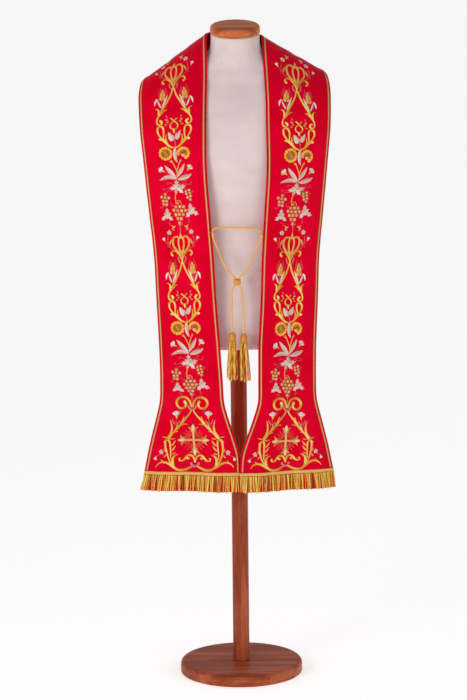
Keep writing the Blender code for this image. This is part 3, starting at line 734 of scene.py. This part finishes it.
def around(count, inner, outer, thread, kind, width, start=0.0, sweep=360.0, tone=0.5):
    """Strokes from the centre outwards, evenly round it; start is degrees from the right."""
    found = []
    for k in range(count):
        a = math.radians(start + sweep * k / (count if sweep == 360.0 else count - 1))
        c, s, h = math.cos(a), math.sin(a), math.degrees(a)
        found += stroke(thread, kind, width, (inner * c, inner * s, h), (outer * c, outer * s, h),
                        tone=tone + 0.14 * (k % 2))
    return found


def wheat():
    """An ear of wheat pointing up from (0, 0), 31 mm high, with its awns."""
    found = stroke("brown", "even", 6.5, (0, -3, -90), (0, -25, -90), tone=0.95)
    found += stroke("old", "leaf", 5.6, (0, -19, -90), (0, -32, -90), tone=0.6)
    for k in range(4):
        y, out = -4.0 - 5.4 * k, 6.4 - 0.8 * k
        found += mirrored(stroke("old", "leaf", 5.2, (0.6, y + 3.5, -35), (out, y - 4.5, -85),
                                 tone=0.72 - 0.3 * (k % 2)))
        found += mirrored(stroke("rose", "even", 0.9, (out, y - 4, -75), (out + 5.0 - k, y - 19, -86)))
    return found


def small_flower():
    """A five-petalled flower 13 mm across with a gold eye."""
    return (around(5, 1.2, 6.4, "white", "leaf", 5.2, start=-90, tone=0.42)
            + around(5, 0.1, 2.4, "cream", "even", 2.2, start=-54))


def bud():
    """A bud 11 mm long, opening upwards."""
    found = []
    for lean, tone in ((-28, 0.45), (28, 0.75), (0, 0.95)):
        found += placed(stroke("white", "leaf", 4.0, (0, 0, -90), (0, -8.0, -90), tone=tone), 0, 0, lean)
    return found + stroke("old", "horn", 5.0, (0, -3.0, 90), (0, 4.5, 90), tone=0.7)


def big_bud():
    """A half-open flower 20 mm long: pale petals over a gold cup, opening upwards."""
    found = []
    for lean, tone in ((-50, 0.3), (50, 0.7), (-25, 0.55), (25, 0.3), (0, 0.6)):
        petal = stroke("white", "petal", 6.6, (0, 1, -90), (0, -12.5, -90), tone=tone)
        found += placed(petal, 0, 0, lean)
    return found + stroke("yellow", "horn", 8.0, (0, -2.0, 90), (0, 9.0, 90))


def open_flower():
    """A scalloped flower 36 mm across: yellow petals round a brown ring and a gold eye."""
    return (around(12, 9.0, 18.2, "yellow", "petal", 9.0, tone=0.42)
            + around(22, 3.6, 13.2, "brown", "leaf", 4.0, tone=0.42)
            + around(8, 0.3, 6.0, "bright", "leaf", 3.8, tone=0.2)
            + around(5, 0.1, 1.8, "brown", "even", 2.6, tone=0.7))


def cupped_flower():
    """The same flower from the side: a fan of scallops over a pale throat."""
    return (around(10, 7.5, 16.8, "yellow", "petal", 8.6, -188, 250.0, tone=0.42)
            + around(14, 2.5, 12.2, "brown", "leaf", 4.2, -180, 235.0, tone=0.38)
            + stroke("cream", "swell", 4.8, (-4.5, 1, 70), (1, 7.5, 0), (6.5, 2.5, -65), tone=0.6)
            + around(3, 1.0, 5.0, "yellow", "leaf", 3.6, 40, 70.0, tone=0.6))


def lobed_leaf(lobes):
    """A vine or ivy leaf about (0, 0); lobes are rows of turn, length and width, each with a
    tooth on both edges."""
    found = []
    for k, (turn, long, wide) in enumerate(lobes):
        tone = (0.35, 0.7, 0.5)[k % 3]
        lobe = stroke("silver", "leaf", wide, (0, 2.0, -90), (0, -long, -90), tone=tone)
        if long > 13:
            lobe += mirrored(stroke("silver", "leaf", 0.5 * wide, (0, -0.42 * long, -70),
                                    (0.24 * long, -0.74 * long, -55), tone=tone + 0.2))
        found += placed(lobe, 0, 0, turn)
    return found


def grapes(rows, size):
    """A hanging bunch: rows of berries from the top, each berry round and ringed in rose."""
    found = []
    for i, count in enumerate(rows):
        for k in range(count):
            x = (k - (count - 1) / 2) * size * 1.02 + 0.7 * math.sin(5 * i + k)
            y = i * size * 0.93 + 0.5 * math.cos(3 * i + 2 * k)
            ring, berry, tone = size * 0.55, size * 0.42, 0.4 + 0.3 * ((i + 2 * k) % 3) / 2
            found += stroke("rose", "berry", 2 * ring, (x - ring, y, 0), (x + ring, y, 0))
            found += stroke("old", "berry", 2 * berry, (x, y - berry, 90), (x, y + berry, 90), tone=tone)
    return found


def tendril(long, curl, hand):
    """A stem that curls up at its end, to the right when hand is 1."""
    return stroke("rose", "even", 1.1, (0, 0, 0), (long, 0, 25 * hand), curl=(curl, 0.9 * hand))


PALMETTE = (
    mirrored(
        stroke("old", "even", 4.6, (3.6, 14, 75), (7.0, 32, 92), (1.8, 60, 102), tone=0.6)
        + stroke("old", "even", 5.2, (4.5, 18, -40), (13, 14.5, 5), (21.5, 30, 92), (5, 58, 128))
        + stroke("old", "leaf", 4.2, (23, 20, 50), (30.5, 37, 75))
        + stroke("bright", "volute", 5.8, (1.2, 74, -80), (8, 59, -52), (19.5, 50, 0),
                 curl=(8.2, 0.56), tone=0.35)
    )
    + stroke("old", "spear", 12.0, (0, 0, 90), (0, 20, 90), tone=0.55)
    + stroke("old", "horn", 13.0, (0, 50, 90), (0, 78, 90), tone=0.35)
    + stroke("bright", "even", 4.6, (0, 70, 90), (0, 86, 90))
    + stroke("rose", "even", 3.8, (-8.5, 65, 112), (0, 83, 0), (8.5, 65, -112), tone=0.75)
)
FLOWER_SPRIGS = mirrored(
    placed(small_flower(), 29, 3)
    + placed(bud(), 43, 22, 25)
    + stroke("old", "leaf", 4.0, (11, -11, 20), (22, -3, 48), tone=0.75)
    + stroke("old", "leaf", 3.2, (17, -6, -60), (22.5, -13, -20), tone=0.75)
    + stroke("old", "leaf", 2.8, (21, -3, 180), (14.5, -2, 150), tone=0.65)
    + stroke("rose", "even", 1.6, (20, 48, -35), (32, 36, -70), (33, 12, -100))
    + stem((34, 36, -60), (40, 27, -30))
    + stem((30, 38, 0), (38, 41, 30))
)
EARS = mirrored(
    placed(wheat(), 27, 111, -4)
    + stem((27, 110, 85), (29, 130, 80), (29.5, 142, 92))
    + stroke("ivory", "leaf", 4.8, (28.5, 133, -118), (13.5, 97, -112), tone=0.55)
    + stroke("ivory", "leaf", 4.2, (29, 132, -62), (38.5, 106, -72), tone=0.45)
    + stroke("ivory", "leaf", 4.8, (37, 105, 30), (45, 124, 80), tone=0.7)
)
LYRE = (
    mirrored(
        stroke("bright", "volute", 5.4, (1.5, 80, 80), (19.4, 124, 62), (36, 153, 62), (41, 169, 93),
               curl=(7.2, 0.86))
        + stroke("bright", "horn", 7.6, (35, 154, -95), (35, 140, -88), (43.5, 132.5, -12), tone=0.55)
        + stroke("bright", "horn", 5.6, (32, 149, -138), (14.5, 138.5, 178))
        + stroke("bright", "horn", 3.8, (27, 144, -140), (20, 135, -120))
        + stroke("bright", "swell", 5.4, (26.5, 215, -90), (25, 195, -90), (33, 179.5, 0),
                 (40.5, 190, 92), (28, 214, 125), tone=0.55)
        + stroke("bright", "horn", 7.0, (16, 228, -68), (20, 213, -88), (18.5, 200, -108), tone=0.35)
        + stroke("bright", "flare", 7.6, (0, 234, 0), (12, 230, -36), (22, 219.5, -44), (31, 212, -12),
                 curl=(6.5, 0.26), tone=0.6)
        + stem((17, 155, 95), (15, 167, 75), (21, 179, 50))
        + stroke("rose", "leaf", 3.4, (16.5, 160, -90), (18, 152, -70), tone=0.8)
        + stroke("old", "leaf", 3.6, (14.5, 166, -10), (21.5, 162, -40), tone=0.7)
        + stroke("old", "leaf", 3.4, (18, 172, 190), (11.5, 169, 180), tone=0.65)
        + stroke("old", "leaf", 3.4, (16, 176, 0), (23, 177.5, 20))
    )
    + stroke("bright", "even", 3.7, (-8.5, 160, 38), (0, 168, 44), (9.2, 180, 90), (0, 189, 180),
             (-9.2, 180, -90), (0, 168, -44), (8.5, 160, -38))
    + stroke("bright", "leaf", 5.6, (0, 186, 90), (0, 199, 90), tone=0.6)
)
BOUQUET = (
    stroke("silver", "leaf", 11.5, (-3, 217, -165), (-9, 207, -100), (-14.5, 195, -118), tone=0.6)
    + stroke("silver", "leaf", 7.5, (-3, 217, -70), (-3.5, 202, -105), tone=0.35)
    + stroke("silver", "leaf", 8.5, (4, 214, -20), (11, 203, -72), (16, 191, -60), tone=0.6)
    + stroke("silver", "leaf", 6.5, (4, 214, -90), (5.5, 197, -100), tone=0.4)
    + stroke("rose", "even", 2.0, (1, 215, 80), (3, 233, 90), tone=0.7)
    + placed(open_flower(), -23, 249, 8)
    + placed(cupped_flower(), 21.5, 249)
    + veined("silver", 9.4, (3, 231, 105), (0.5, 248, 92), (5.5, 273, 62), tone=0.45)
    + stroke("old", "even", 2.8, (-11, 265, 55), (-3, 281, 66), (3, 302, 88), tone=0.6)
    + stroke("old", "even", 2.8, (15, 264, 118), (7, 281, 110), (3, 302, 92), tone=0.6)
    + stroke("old", "leaf", 2.8, (-8, 272, 195), (-15, 268, 210), tone=0.6)
    + stroke("old", "leaf", 2.8, (11, 272, -50), (17, 267, -20), tone=0.6)
    + veined("silver", 10.5, (1, 314, -142), (-15, 296, -131), (-28.5, 279, -126))
    + veined("silver", 9.4, (-1, 315, -172), (-22, 309.5, 176), (-46, 318, 156))
    + veined("silver", 9.4, (1.5, 312, -82), (13, 293, -62), (22.5, 275, -74))
    + veined("silver", 11.5, (1.5, 315, 12), (18, 312, -16), (39.5, 302, -40))
    + placed(big_bud(), -35.5, 292.5, -58, 0.86)
    + placed(big_bud(), 33, 288.5, 40, 0.86)
    + stem((-28, 298, 40), (-12, 310, 25))
    + stem((28, 296, 120), (19, 307, 140))
)
VINE_LEAF = ((-4, 25, 7.5), (-92, 22, 8), (74, 24, 8.5), (-152, 18, 7.5), (136, 21, 8), (-48, 16, 7),
             (34, 15, 6.5), (102, 15, 6), (180, 8, 6))
IVY_LEAF = ((0, 17, 9), (-124, 18, 8), (124, 19, 8), (-62, 10, 8), (62, 11, 8), (180, 8, 9))
VINE = (
    placed(lobed_leaf(VINE_LEAF), 0, 340)
    + placed(tendril(12, 3.2, -1), -12, 329, 205) + placed(tendril(24, 3.2, 1), -14, 333, 155)
    + placed(tendril(9, 3.0, 1), 14, 321, -10) + placed(tendril(24, 3.4, -1), 12, 326, 12)
    + placed(tendril(8, 2.4, -1), 33, 357, -30) + placed(tendril(10, 2.6, 1), -42, 378, 110)
    + placed(tendril(12, 2.8, 1), 20, 408, 60) + placed(tendril(10, 2.8, -1), -22, 374, 70)
    + stem((-14, 347, 180), (-29, 349, 150), (-33, 354, 90))
    + stem((14, 342, 0), (25, 348, 60))
    + placed(grapes((1, 3, 2, 2), 8.6), -34, 355, 6)
    + placed(grapes((2, 2, 2, 1), 8.2), 25, 349, -14)
    + stroke("old", "even", 2.8, (-4, 353, 110), (-8, 363, 95), (-7, 380, 85), tone=0.55)
    + stroke("copper", "even", 2.4, (-7, 373, -30), (3, 373, 40), (6, 382, 90), tone=0.6)
    + stroke("copper", "berry", 7.0, (-3, 374, 90), (-3, 381, 90))
    + placed(grapes((3, 4, 3, 2, 1), 9.5), 1, 386, 4)
    + placed(lobed_leaf(IVY_LEAF), -33, 404, 2)
    + placed(lobed_leaf(IVY_LEAF), 31, 397, -8, 1.1)
    + placed(tendril(9, 2.4, 1), -34, 419, 20)
    + stroke("rose", "even", 2.2, (-5, 414, 60), (0, 428, 75), (0, 441, 90), tone=0.7)
    + stroke("rose", "leaf", 2.6, (0, 428, -30), (8, 420, -60), tone=0.7)
)
MODULE = PALMETTE + FLOWER_SPRIGS + EARS + LYRE + BOUQUET + VINE


def cross():
    """A cross with three-pointed ends, and four rays in each quarter."""
    arm = (stroke("cream", "even", 5.6, (0, 3, -90), (0, -27, -90))
           + mirrored(stroke("cream", "horn", 8.4, (0.5, -20, -60), (6, -29, -45), (14, -33, -5),
                             tone=0.3))
           + stroke("cream", "leaf", 9.4, (0, -22, -90), (0, -41, -90), tone=0.7))
    found = []
    for turn in (0, 90, 180, 270):
        found += placed(arm, 0, 0, turn)
        for ray, long in ((22, 27), (37, 32), (53, 32), (68, 27)):
            found += placed(stroke("copper", "even", 1.1, (11, 0, 0), (long, 0, 0)), 0, 0, turn + ray)
    return found


END_MOTIF = (
    mirrored(
        stroke("bright", "volute", 6.8, (1.8, 29, -88), (22, 2, 0), curl=(17.4, 0.96), tone=0.4)
        + stroke("bright", "swell", 5.6, (2, 34, 72), (22, 62, 52), (48, 91, 45), (66, 109, 62))
        + stroke("bright", "horn", 7.6, (67, 109, -150), (54, 96, -135), (38, 91, 170), tone=0.65)
        + stroke("bright", "horn", 5.8, (32, 72, -130), (25, 62, -115), (22, 51, -105), tone=0.6)
        + stroke("bright", "horn", 6.0, (38, 78, -145), (28, 73, -165), (13, 73, 165), tone=0.45)
        + stroke("bright", "horn", 7.6, (64, 106, -125), (54, 84, -95), (58, 61, -70))
        + stroke("bright", "horn", 5.0, (48, 90, -130), (41, 78, -110), (40, 68, -80), tone=0.55)
        + stroke("bright", "leaf", 3.8, (67, 108, 200), (80, 104, 190))
        + stroke("bright", "leaf", 3.6, (62, 108, 150), (46, 108, 190))
        + stroke("bright", "swell", 5.4, (61, 162, -88), (61, 128, -88), (67, 112, 0), (73.5, 128, 92),
                 (68, 155, 105), (56, 180, 118))
        + stroke("old", "leaf", 4.2, (60, 128, -150), (46, 113, -125), tone=0.7)
        + stroke("old", "leaf", 4.2, (60, 141, -150), (47, 126, -125), tone=0.7)
        + stroke("old", "leaf", 3.8, (60, 149, -170), (48, 145, -160), tone=0.65)
        + stroke("old", "leaf", 3.4, (72, 144, -40), (79, 134, -60), tone=0.6)
        + stroke("old", "leaf", 3.4, (71, 149, 55), (79, 158, 45), tone=0.6)
        + stroke("ivory", "leaf", 2.8, (71, 113, 50), (78, 119, 60))
        + stroke("bright", "swell", 7.4, (57, 174, 118), (34, 191, 180), (4, 179, -150))
        + stroke("bright", "horn", 8.6, (50, 184, -35), (76, 170, -12), (99, 184, 62), tone=0.6)
        + stroke("bright", "horn", 4.8, (75, 172, -25), (86, 163, -55))
        + stroke("bright", "horn", 9.4, (56, 178, -95), (56, 162, -100), (41, 150, 180), tone=0.55)
        + stroke("bright", "swell", 5.8, (0.5, 172, -88), (13, 152, 0), (27, 163, 48), (36, 166, -8),
                 curl=(4.6, -0.62), tone=0.6)
        + stroke("bright", "volute", 4.8, (17, 152, 60), (20, 159, 100), curl=(3.4, 0.6), tone=0.6)
        + placed(small_flower(), 85, 144)
        + placed(bud(), 99, 158, 160)
        + stroke("rose", "even", 1.4, (76, 150, -10), (98, 156, 30))
        + placed(big_bud(), 41, 50, 4)
        + stem((42, 58, 95), (48, 80, 70))
        + stroke("rose", "leaf", 3.4, (43, 72, -160), (33, 62, -110), tone=0.8)
        + stroke("rose", "leaf", 3.4, (44, 73, -40), (52, 58, -95), tone=0.8)
        + placed(tendril(12, 2.8, -1), 24, 42, -35)
    )
    + stroke("rose", "even", 4.6, (-9, 22, 112), (0, 35, 0), (9, 22, -112), tone=0.85)
    + stroke("rose", "even", 5.6, (-9, 170, 112), (0, 181, 0), (9, 170, -112), tone=0.85)
    + placed(cross(), 0, 113)
)
CROWNS, END_DOWN = (229.0, 667.0), 1095.0  # mm from the nape along the middle
LAY = {
    # the cloth was stitched before it was hung: by half, mm from the nape, then how far the
    # design lies to the right, how far down, its fall to the right per mm, its width as a factor
    -1: ((229, 4.0, -7.0, 0.09, 1.10), (310, 4.5, -13.0, 0.13, 1.10), (370, 5.0, -17.0, 0.05, 1.11),
         (400, 5.5, -18.5, 0.0, 1.08), (465, 4.0, -18.5, -0.05, 1.05), (540, 4.0, -19.5, -0.08, 1.0),
         (585, 4.0, -23.0, -0.12, 1.0), (630, 3.0, -18.0, -0.12, 1.0), (667, -0.8, -9.0, -0.117, 1.0),
         (740, -2.9, -9.0, -0.11, 1.0), (850, -3.3, -9.0, -0.095, 1.0), (905, -3.9, -9.0, -0.08, 1.0),
         (980, -1.8, -9.0, -0.077, 1.0), (1065, -2.1, -9.0, -0.077, 1.0), (1090, 1.3, -11.7, -0.02, 1.0),
         (1150, 1.3, -12.0, -0.05, 1.0), (1210, 1.3, -10.5, -0.05, 1.0), (1275, 5.0, -8.5, -0.02, 1.02)),
    1: ((229, -4.7, 6.0, 0.0, 1.08), (305, -5.5, 7.0, -0.02, 1.08), (345, -4.0, 5.0, 0.0, 1.08),
        (370, -2.5, 3.0, 0.03, 1.06), (400, -2.0, 2.0, 0.05, 1.02), (465, 1.0, -1.0, 0.10, 0.98),
        (540, 1.0, 1.0, 0.09, 1.0), (580, -2.6, -7.0, 0.09, 1.0), (630, -3.9, -4.5, 0.06, 1.0),
        (667, -1.8, 3.0, 0.07, 1.0), (740, -3.5, 4.0, 0.08, 0.98), (770, -4.0, 6.0, 0.09, 0.96),
        (850, -5.2, 4.0, 0.13, 0.90), (905, 0.0, 3.0, 0.06, 0.92), (980, 3.0, 7.0, 0.055, 0.92),
        (1010, -1.0, 2.0, 0.07, 0.92), (1065, -2.0, 2.0, 0.08, 0.92), (1090, -1.5, 2.0, 0.07, 0.88),
        (1150, -1.3, 0.5, 0.09, 0.92), (1210, -0.5, 2.0, 0.05, 0.93), (1275, -2.0, -1.0, 0.0, 0.94)),
}


def embroider(meshes, side, strokes, down):
    """Lays strokes on a half, down mm from the nape, as raised stitching."""
    lay = np.array(LAY[side])
    for thread, kind, width, line, tone in strokes:
        line = spaced(line, STITCH_STEP if width > 2.0 else 1.25 * STITCH_STEP)
        run = lengths(line)
        t = run / run[-1]
        half = width_along(kind, t, run, width)
        flow = np.gradient(line, axis=0)
        # painted highlight: each stitch is made lighter or darker by its heading, and lighter still
        # towards the curled ends of volutes and flares
        bright = 0.22 if thread == "bright" else 0.12
        painted_glint = bright * np.cos(2 * (np.arctan2(flow[:, 1], flow[:, 0]) - PAINTED_GLINT_AT))
        if kind in ("volute", "flare"):
            painted_glint = painted_glint + 0.35 * t**6
        aside, lower, slope, wide = (np.interp(line[:, 1] + down, lay[:, 0], c) for c in lay.T[1:])
        place, up = on_cloth(side, line[:, 0] * wide + aside,
                             line[:, 1] + down + lower + slope * line[:, 0])
        high = THREADS[thread][4] * np.clip(half / 1.8, 0.35, 1.15)
        draw_out(meshes[thread][0], place, up, half, high, STITCH_SINK, tone=tone + painted_glint,
                 sides=10 if width > 4 else 6, vee=0.8 if kind in ("leaf", "horn") else 0.0)


# Rayon and metal floss: glossy, and each stroke's tone carries a painted highlight that follows the slant
# of its stitches.  Stitches are drawn about 1.1 mm apart, three times coarser than real, to show.
floss = {thread: thread_material(f"{thread}_floss", dark, middle, light, pitch, relief=0.5,
                                 Roughness=rough, Metallic=metal)
         for thread, (dark, middle, light, pitch, _, rough, metal, _) in THREADS.items()}
for word, side in SIDES:
    meshes = {thread: thread_mesh() for thread in THREADS}
    for crown in CROWNS:
        embroider(meshes, side, MODULE, crown)
    embroider(meshes, side, END_MOTIF, END_DOWN)
    for thread, (bm, _) in meshes.items():
        trimmings[word].append(add_piece(bm, f"embroidery_{thread}_{word}", floss[thread],
                                         THREADS[thread][7]))

# ---------------------------------------------------------------------------------------------
# Bullion fringe: a woven heading 6 mm deep sewn across each hem, with strands of tightly twisted
# rayon 46 mm long that hang in two uneven layers, so the crimson shows between them.
HEADING_TOP, HEADING_FOOT, HEADING_THICK, HEADING_POINTS = 553.6, 547.6, 1.9, 230
FRINGE_LENGTH = 46.0
# painted shade: the layer behind, nearer the cloth, is given darker tones than the layer in front
LAYERS = (
    # strands, mm off the cloth, tone from, tone to
    (50, 1.0, 0.0, 0.7), (92, 2.6, 0.1, 1.4),
)
# How far the outermost strands swing outwards at their foot, in mm; inwards where negative
SPLAY = {"left": 13.0, "right": -3.0}

# Cotton tape woven with gold: flat and pale, with ribs across it
heading_gold = thread_material("woven_gold_heading", "#B87224", "#EEAE50", "#FFE098", 1.6,
                               relief=0.5, Roughness=0.5, Metallic=0.15)
for word, side in SIDES:
    rng = np.random.default_rng(21 + side)
    p, _, across, down = LAID[side]
    middle_z = p[:, CLOTH_COLS // 2, 2]
    top, foot = (down[np.argmin(np.abs(middle_z - z)), 0] for z in (HEADING_TOP, HEADING_FOOT))
    edge = float(np.interp((top + foot) / 2, down[:, 0], np.abs(across[:, 0])))
    a = np.linspace(-edge - 0.5, edge + 0.5, HEADING_POINTS)
    line, up = on_cloth(side, a, np.full(HEADING_POINTS, (top + foot) / 2), GAP)
    bm, _ = thread_mesh()
    draw_out(bm, line, up, (foot - top) / 2 + 0.2, HEADING_THICK, 0.0, tone=0.6, sides=16,
             lobes=flat_braid)
    heading = add_piece(bm, f"fringe_heading_{word}", heading_gold, "gold_braid", f"fringe_{word}")

    bm, _ = thread_mesh()
    for count, off, dark, light in LAYERS:
        for k in range(count):
            start = ((k + 0.5 + rng.uniform(-0.42, 0.42)) / count * 2 - 1) * (edge - 1.0)
            lock = start / 2.7 + 0.9 * math.sin(start / 7.3 + side)  # strands hang in small locks
            lean = rng.normal(0, 1.1) + 3.4 * math.cos(lock)
            long = FRINGE_LENGTH + rng.uniform(-4.0, 1.0)
            t = np.linspace(0, 1, 15)
            curl = rng.uniform(0.2, 1.1) * np.sin(t * rng.uniform(3, 7) + rng.uniform(0, 6)) * t
            flare = 1 + 0.022 * t
            line, up = on_cloth(side, start * flare + lean * t**1.3 + curl, foot - 1.0 + t * long,
                                off + 0.8 * t * rng.uniform(0, 1.6))
            line[:, 0] += side * SPLAY[word] * t**1.2 * max(side * start / edge, 0) ** 10
            past = np.maximum(foot - 1.0 + t * long - down[-1, 0], 0)
            line[:, 2] -= past  # a strand longer than the cloth hangs on past the hem
            # painted shade: each strand's tone is lightest in its lock's middle and darker between locks
            strand(bm, line, up, rng.uniform(1.8, 2.7),
                   rng.uniform(dark, light) + 0.15 * math.sin(lock))
    strands = add_piece(bm, f"fringe_strands_{word}", strand_gold, "gold_bullion")
    trimmings[word] += [heading, strands]

# ---------------------------------------------------------------------------------------------
# Dress form torso: a moulded shell without limbs, padded and covered in cotton jersey, with a
# princess seam each side of the front and back, one down each side and one round the waist.
TORSO = (
    # height, half width, front, back, squareness
    (862, 156, 98, 102, 2.3), (868, 163, 105, 109, 2.3), (905, 172, 112, 118, 2.3),
    (960, 173, 112, 118, 2.3), (1030, 164, 106, 108, 2.3), (1110, 157, 104, 100, 2.3),
    (1200, 164, 113, 103, 2.3), (1290, 179, 122, 108, 2.3), (1370, 193, 127, 111, 2.3),
    (1430, 205, 120, 109, 2.3), (1470, 213, 109, 106, 2.3), (1498, 214, 97, 100, 2.3),
    (1520, 207, 85, 92, 2.3), (1540, 189, 74, 83, 2.2), (1558, 162, 67.8, 75, 2.1),
    (1575, 121, 61, 70, 2.05), (1590, 88.5, 60, 67, 2.0), (1604, 71.5, 61, 65, 2.0),
    (1622, 63.5, 61.5, 63, 2.0), (1651.5, 61.5, 61.5, 61.5, 2.0),
)
TORSO_SIDES, COVER_EASE = 160, 1.1  # the cover lies this far inside the solid, clear of the cloth
SEAM_TURNS, SEAM_WAIST = (0.0, 0.176, 0.324, 0.5, 0.676, 0.824), 1110.0  # share of a turn; height
GIRTH, NECK_FOOT = 950.0, 1600.0  # mm round; the height where the upright seams end
SEAM_DEPTH, SEAM_HALF, WAIST_HALF = 0.9, 1.6, 2.0

# Cotton jersey: matt, blush beige, knitted in columns 1.8 mm apart, drawn coarser than real
COLUMN_PITCH, COURSE_PITCH = 1.8, 1.4
jersey, jersey_shader = new_material("blush_cotton_jersey", Roughness=0.88, Sheen_Weight=0.25,
                                     Sheen_Roughness=0.5)
place = add_node(jersey, "Attribute", out="Vector", attribute_name="thread")
columns, courses = (
    add_node(jersey, "TexWave", {"Vector": place, "Scale": WAVE_UNIT / pitch, "Distortion": 0.6},
             out="Fac", wave_type="BANDS", bands_direction=direction)
    for direction, pitch in (("X", COLUMN_PITCH), ("Y", COURSE_PITCH))
)
fluff = add_node(jersey, "TexNoise", {"Vector": place, "Scale": 0.02, "Detail": 5.0})
# painted shade: the knit's columns are lighter on their crowns and darker in the grooves between,
# following the relief
shade = add_node(jersey, "Math", {0: columns, 1: 0.16, 2: fluff}, operation="MULTIPLY_ADD")
colour_ramp(jersey, jersey_shader, shade, (0.2, "#DCC6C4"), (0.6, "#E6D2D0"), (1.0, "#EEDEDB"))
knit = add_node(jersey, "Math", {0: columns, 1: courses}, operation="MULTIPLY")
raise_surface(jersey, jersey_shader, knit, 0.35, 0.35)

rows = smooth_run(TORSO, 6, lead=1)
turn = np.linspace(0, 1, TORSO_SIDES + 1)[None, :]
c, s = np.cos(turn * 2 * math.pi), np.sin(turn * 2 * math.pi)
power = 2 / rows[:, 4:5]
near = np.min([np.abs((turn - t + 0.5) % 1 - 0.5) for t in SEAM_TURNS], axis=0) * GIRTH
ease = COVER_EASE + SEAM_DEPTH * np.exp(-(near / SEAM_HALF) ** 2) * (rows[:, 0:1] < NECK_FOOT)
ease = ease + SEAM_DEPTH * np.exp(-((rows[:, 0:1] - SEAM_WAIST) / WAIST_HALF) ** 2)
reach_x = rows[:, 1:2] - ease
reach_y = np.where(s > 0, rows[:, 3:4], rows[:, 2:3]) - ease
points = np.stack([np.sign(c) * np.abs(c) ** power * reach_x,
                   np.sign(s) * np.abs(s) ** power * reach_y, rows[:, 0:1] + 0 * c], -1)
for end in (0, -1):
    points[end, :, 2] = TORSO[end][0]
rim = [points[0] * (0.985, 0.985, 1), points[-1] * (0.97, 0.97, 1)]
middle = [np.tile(points[e].mean(0), (TORSO_SIDES + 1, 1)) for e in (0, -1)]
points = np.concatenate([[middle[0]], [rim[0]], points, [rim[1]], [middle[1]]])
bm, layer = thread_mesh()
girth = turn * GIRTH + 0 * points[..., 2]
shape_grid(bm, layer, points, np.stack([girth, points[..., 2], 0 * girth], -1))
bmesh.ops.remove_doubles(bm, verts=bm.verts, dist=1e-6)
bmesh.ops.recalc_face_normals(bm, faces=bm.faces)
add_piece(bm, "form_cover", jersey, "beige_cover", "form_torso")

# ---------------------------------------------------------------------------------------------
# Neck cap, pole and base: turned from beech and varnished; the pole and the base are stained red
# brown.  The pole is let into the base and runs up into the shell; the cap closes the neck.
CAP = ((0, 1651.9), (59.5, 1651.9), (61.8, 1653.4), (62.3, 1656), (62.3, 1664), (61.2, 1668.6),
       (57.6, 1672.2), (51.6, 1673.4), (0, 1673.4))
POLE = ((0, 30.5), (20.5, 30.5), (20.5, 861.7), (0, 861.7))
BASE = ((0, 0), (150.4, 0), (152.6, 2), (152.6, 20), (151.2, 25.6), (147.2, 29.2), (141, 30.2), (0, 30.2))
TURNED_STEPS = 128


def eased(profile, radius):
    """A turning profile with each of its corners eased by a small curve, in mm."""
    p = np.asarray(profile, float)
    out = [p[0]]
    for before, corner, after in zip(p, p[1:-1], p[2:]):
        r = min(radius, 0.35 * np.linalg.norm(corner - before), 0.35 * np.linalg.norm(after - corner))
        start, end = corner + unit(before - corner) * r, corner + unit(after - corner) * r
        out += [start * (1 - t) ** 2 + 2 * corner * t * (1 - t) + end * t**2
                for t in (0.0, 0.25, 0.5, 0.75, 1.0)]
    return out + [p[-1]]


def turned(name, profile, material, node):
    """A solid of revolution from (radius, height) in mm, on the form's axis."""
    bm = bmesh.new()
    ring = [bm.verts.new((r * MM, 0.0, z * MM)) for r, z in eased(profile, 1.2)]
    chain = [bm.edges.new(pair) for pair in zip(ring, ring[1:])]
    bmesh.ops.spin(bm, geom=ring + chain, cent=(0, 0, 0), axis=(0, 0, 1), angle=2 * math.pi,
                   steps=TURNED_STEPS, use_merge=True)
    bmesh.ops.remove_doubles(bm, verts=bm.verts, dist=1e-6)
    bmesh.ops.recalc_face_normals(bm, faces=bm.faces)
    piece = add_piece(bm, name, material, "varnished_wood", node)
    piece.data.set_sharp_from_angle(angle=math.radians(50))


def beech(name, axis, dark, middle, light):
    """Beech, turned and varnished: fine grain along the axis, short dark flecks, and a thin
    glossy coat.  The grain is drawn about 3 mm wide, as the stain shows it."""
    material, shader = new_material(name, Roughness=0.42, Specular_IOR_Level=0.12,
                                    Coat_Weight=0.03, Coat_Roughness=0.2)
    spot = add_node(material, "TexCoord", out="Object")

    def drawn_out(across, lengthwise):
        scale = [lengthwise if name_of == axis else across for name_of in "XYZ"]
        return add_node(material, "Mapping", {"Vector": spot, "Scale": scale})

    grain = add_node(material, "TexNoise", {"Vector": drawn_out(330.0, 14.0), "Scale": 1.0,
                                            "Detail": 4.0, "Distortion": 0.4})
    broad = add_node(material, "TexNoise", {"Vector": drawn_out(30.0, 2.5), "Scale": 1.0})
    flecks = add_node(material, "TexVoronoi", {"Vector": drawn_out(900.0, 120.0), "Scale": 1.0},
                      out="Distance")
    shade = add_node(material, "Math", {0: grain, 1: 0.55, 2: broad}, operation="MULTIPLY_ADD")
    shade = add_node(material, "Math", {0: flecks, 1: 0.16, 2: shade}, operation="MULTIPLY_ADD")
    colour_ramp(material, shader, shade, (0.55, dark), (0.85, middle), (1.1, light))
    raise_surface(material, shader, grain, 0.12, 0.3)
    return material


light = beech("light_varnished_beech", "X", "#8E4018", "#BC5C2C", "#DA7A44")
turned("neck_cap_turned", CAP, light, "form_neck_cap")
STAIN = ("#742A16", "#A04628", "#BC6440")
turned("stand_pole", POLE, beech("stained_beech_pole", "Z", *STAIN), "form_pole")
turned("stand_base", BASE, beech("stained_beech_board", "X", *STAIN), "form_base")
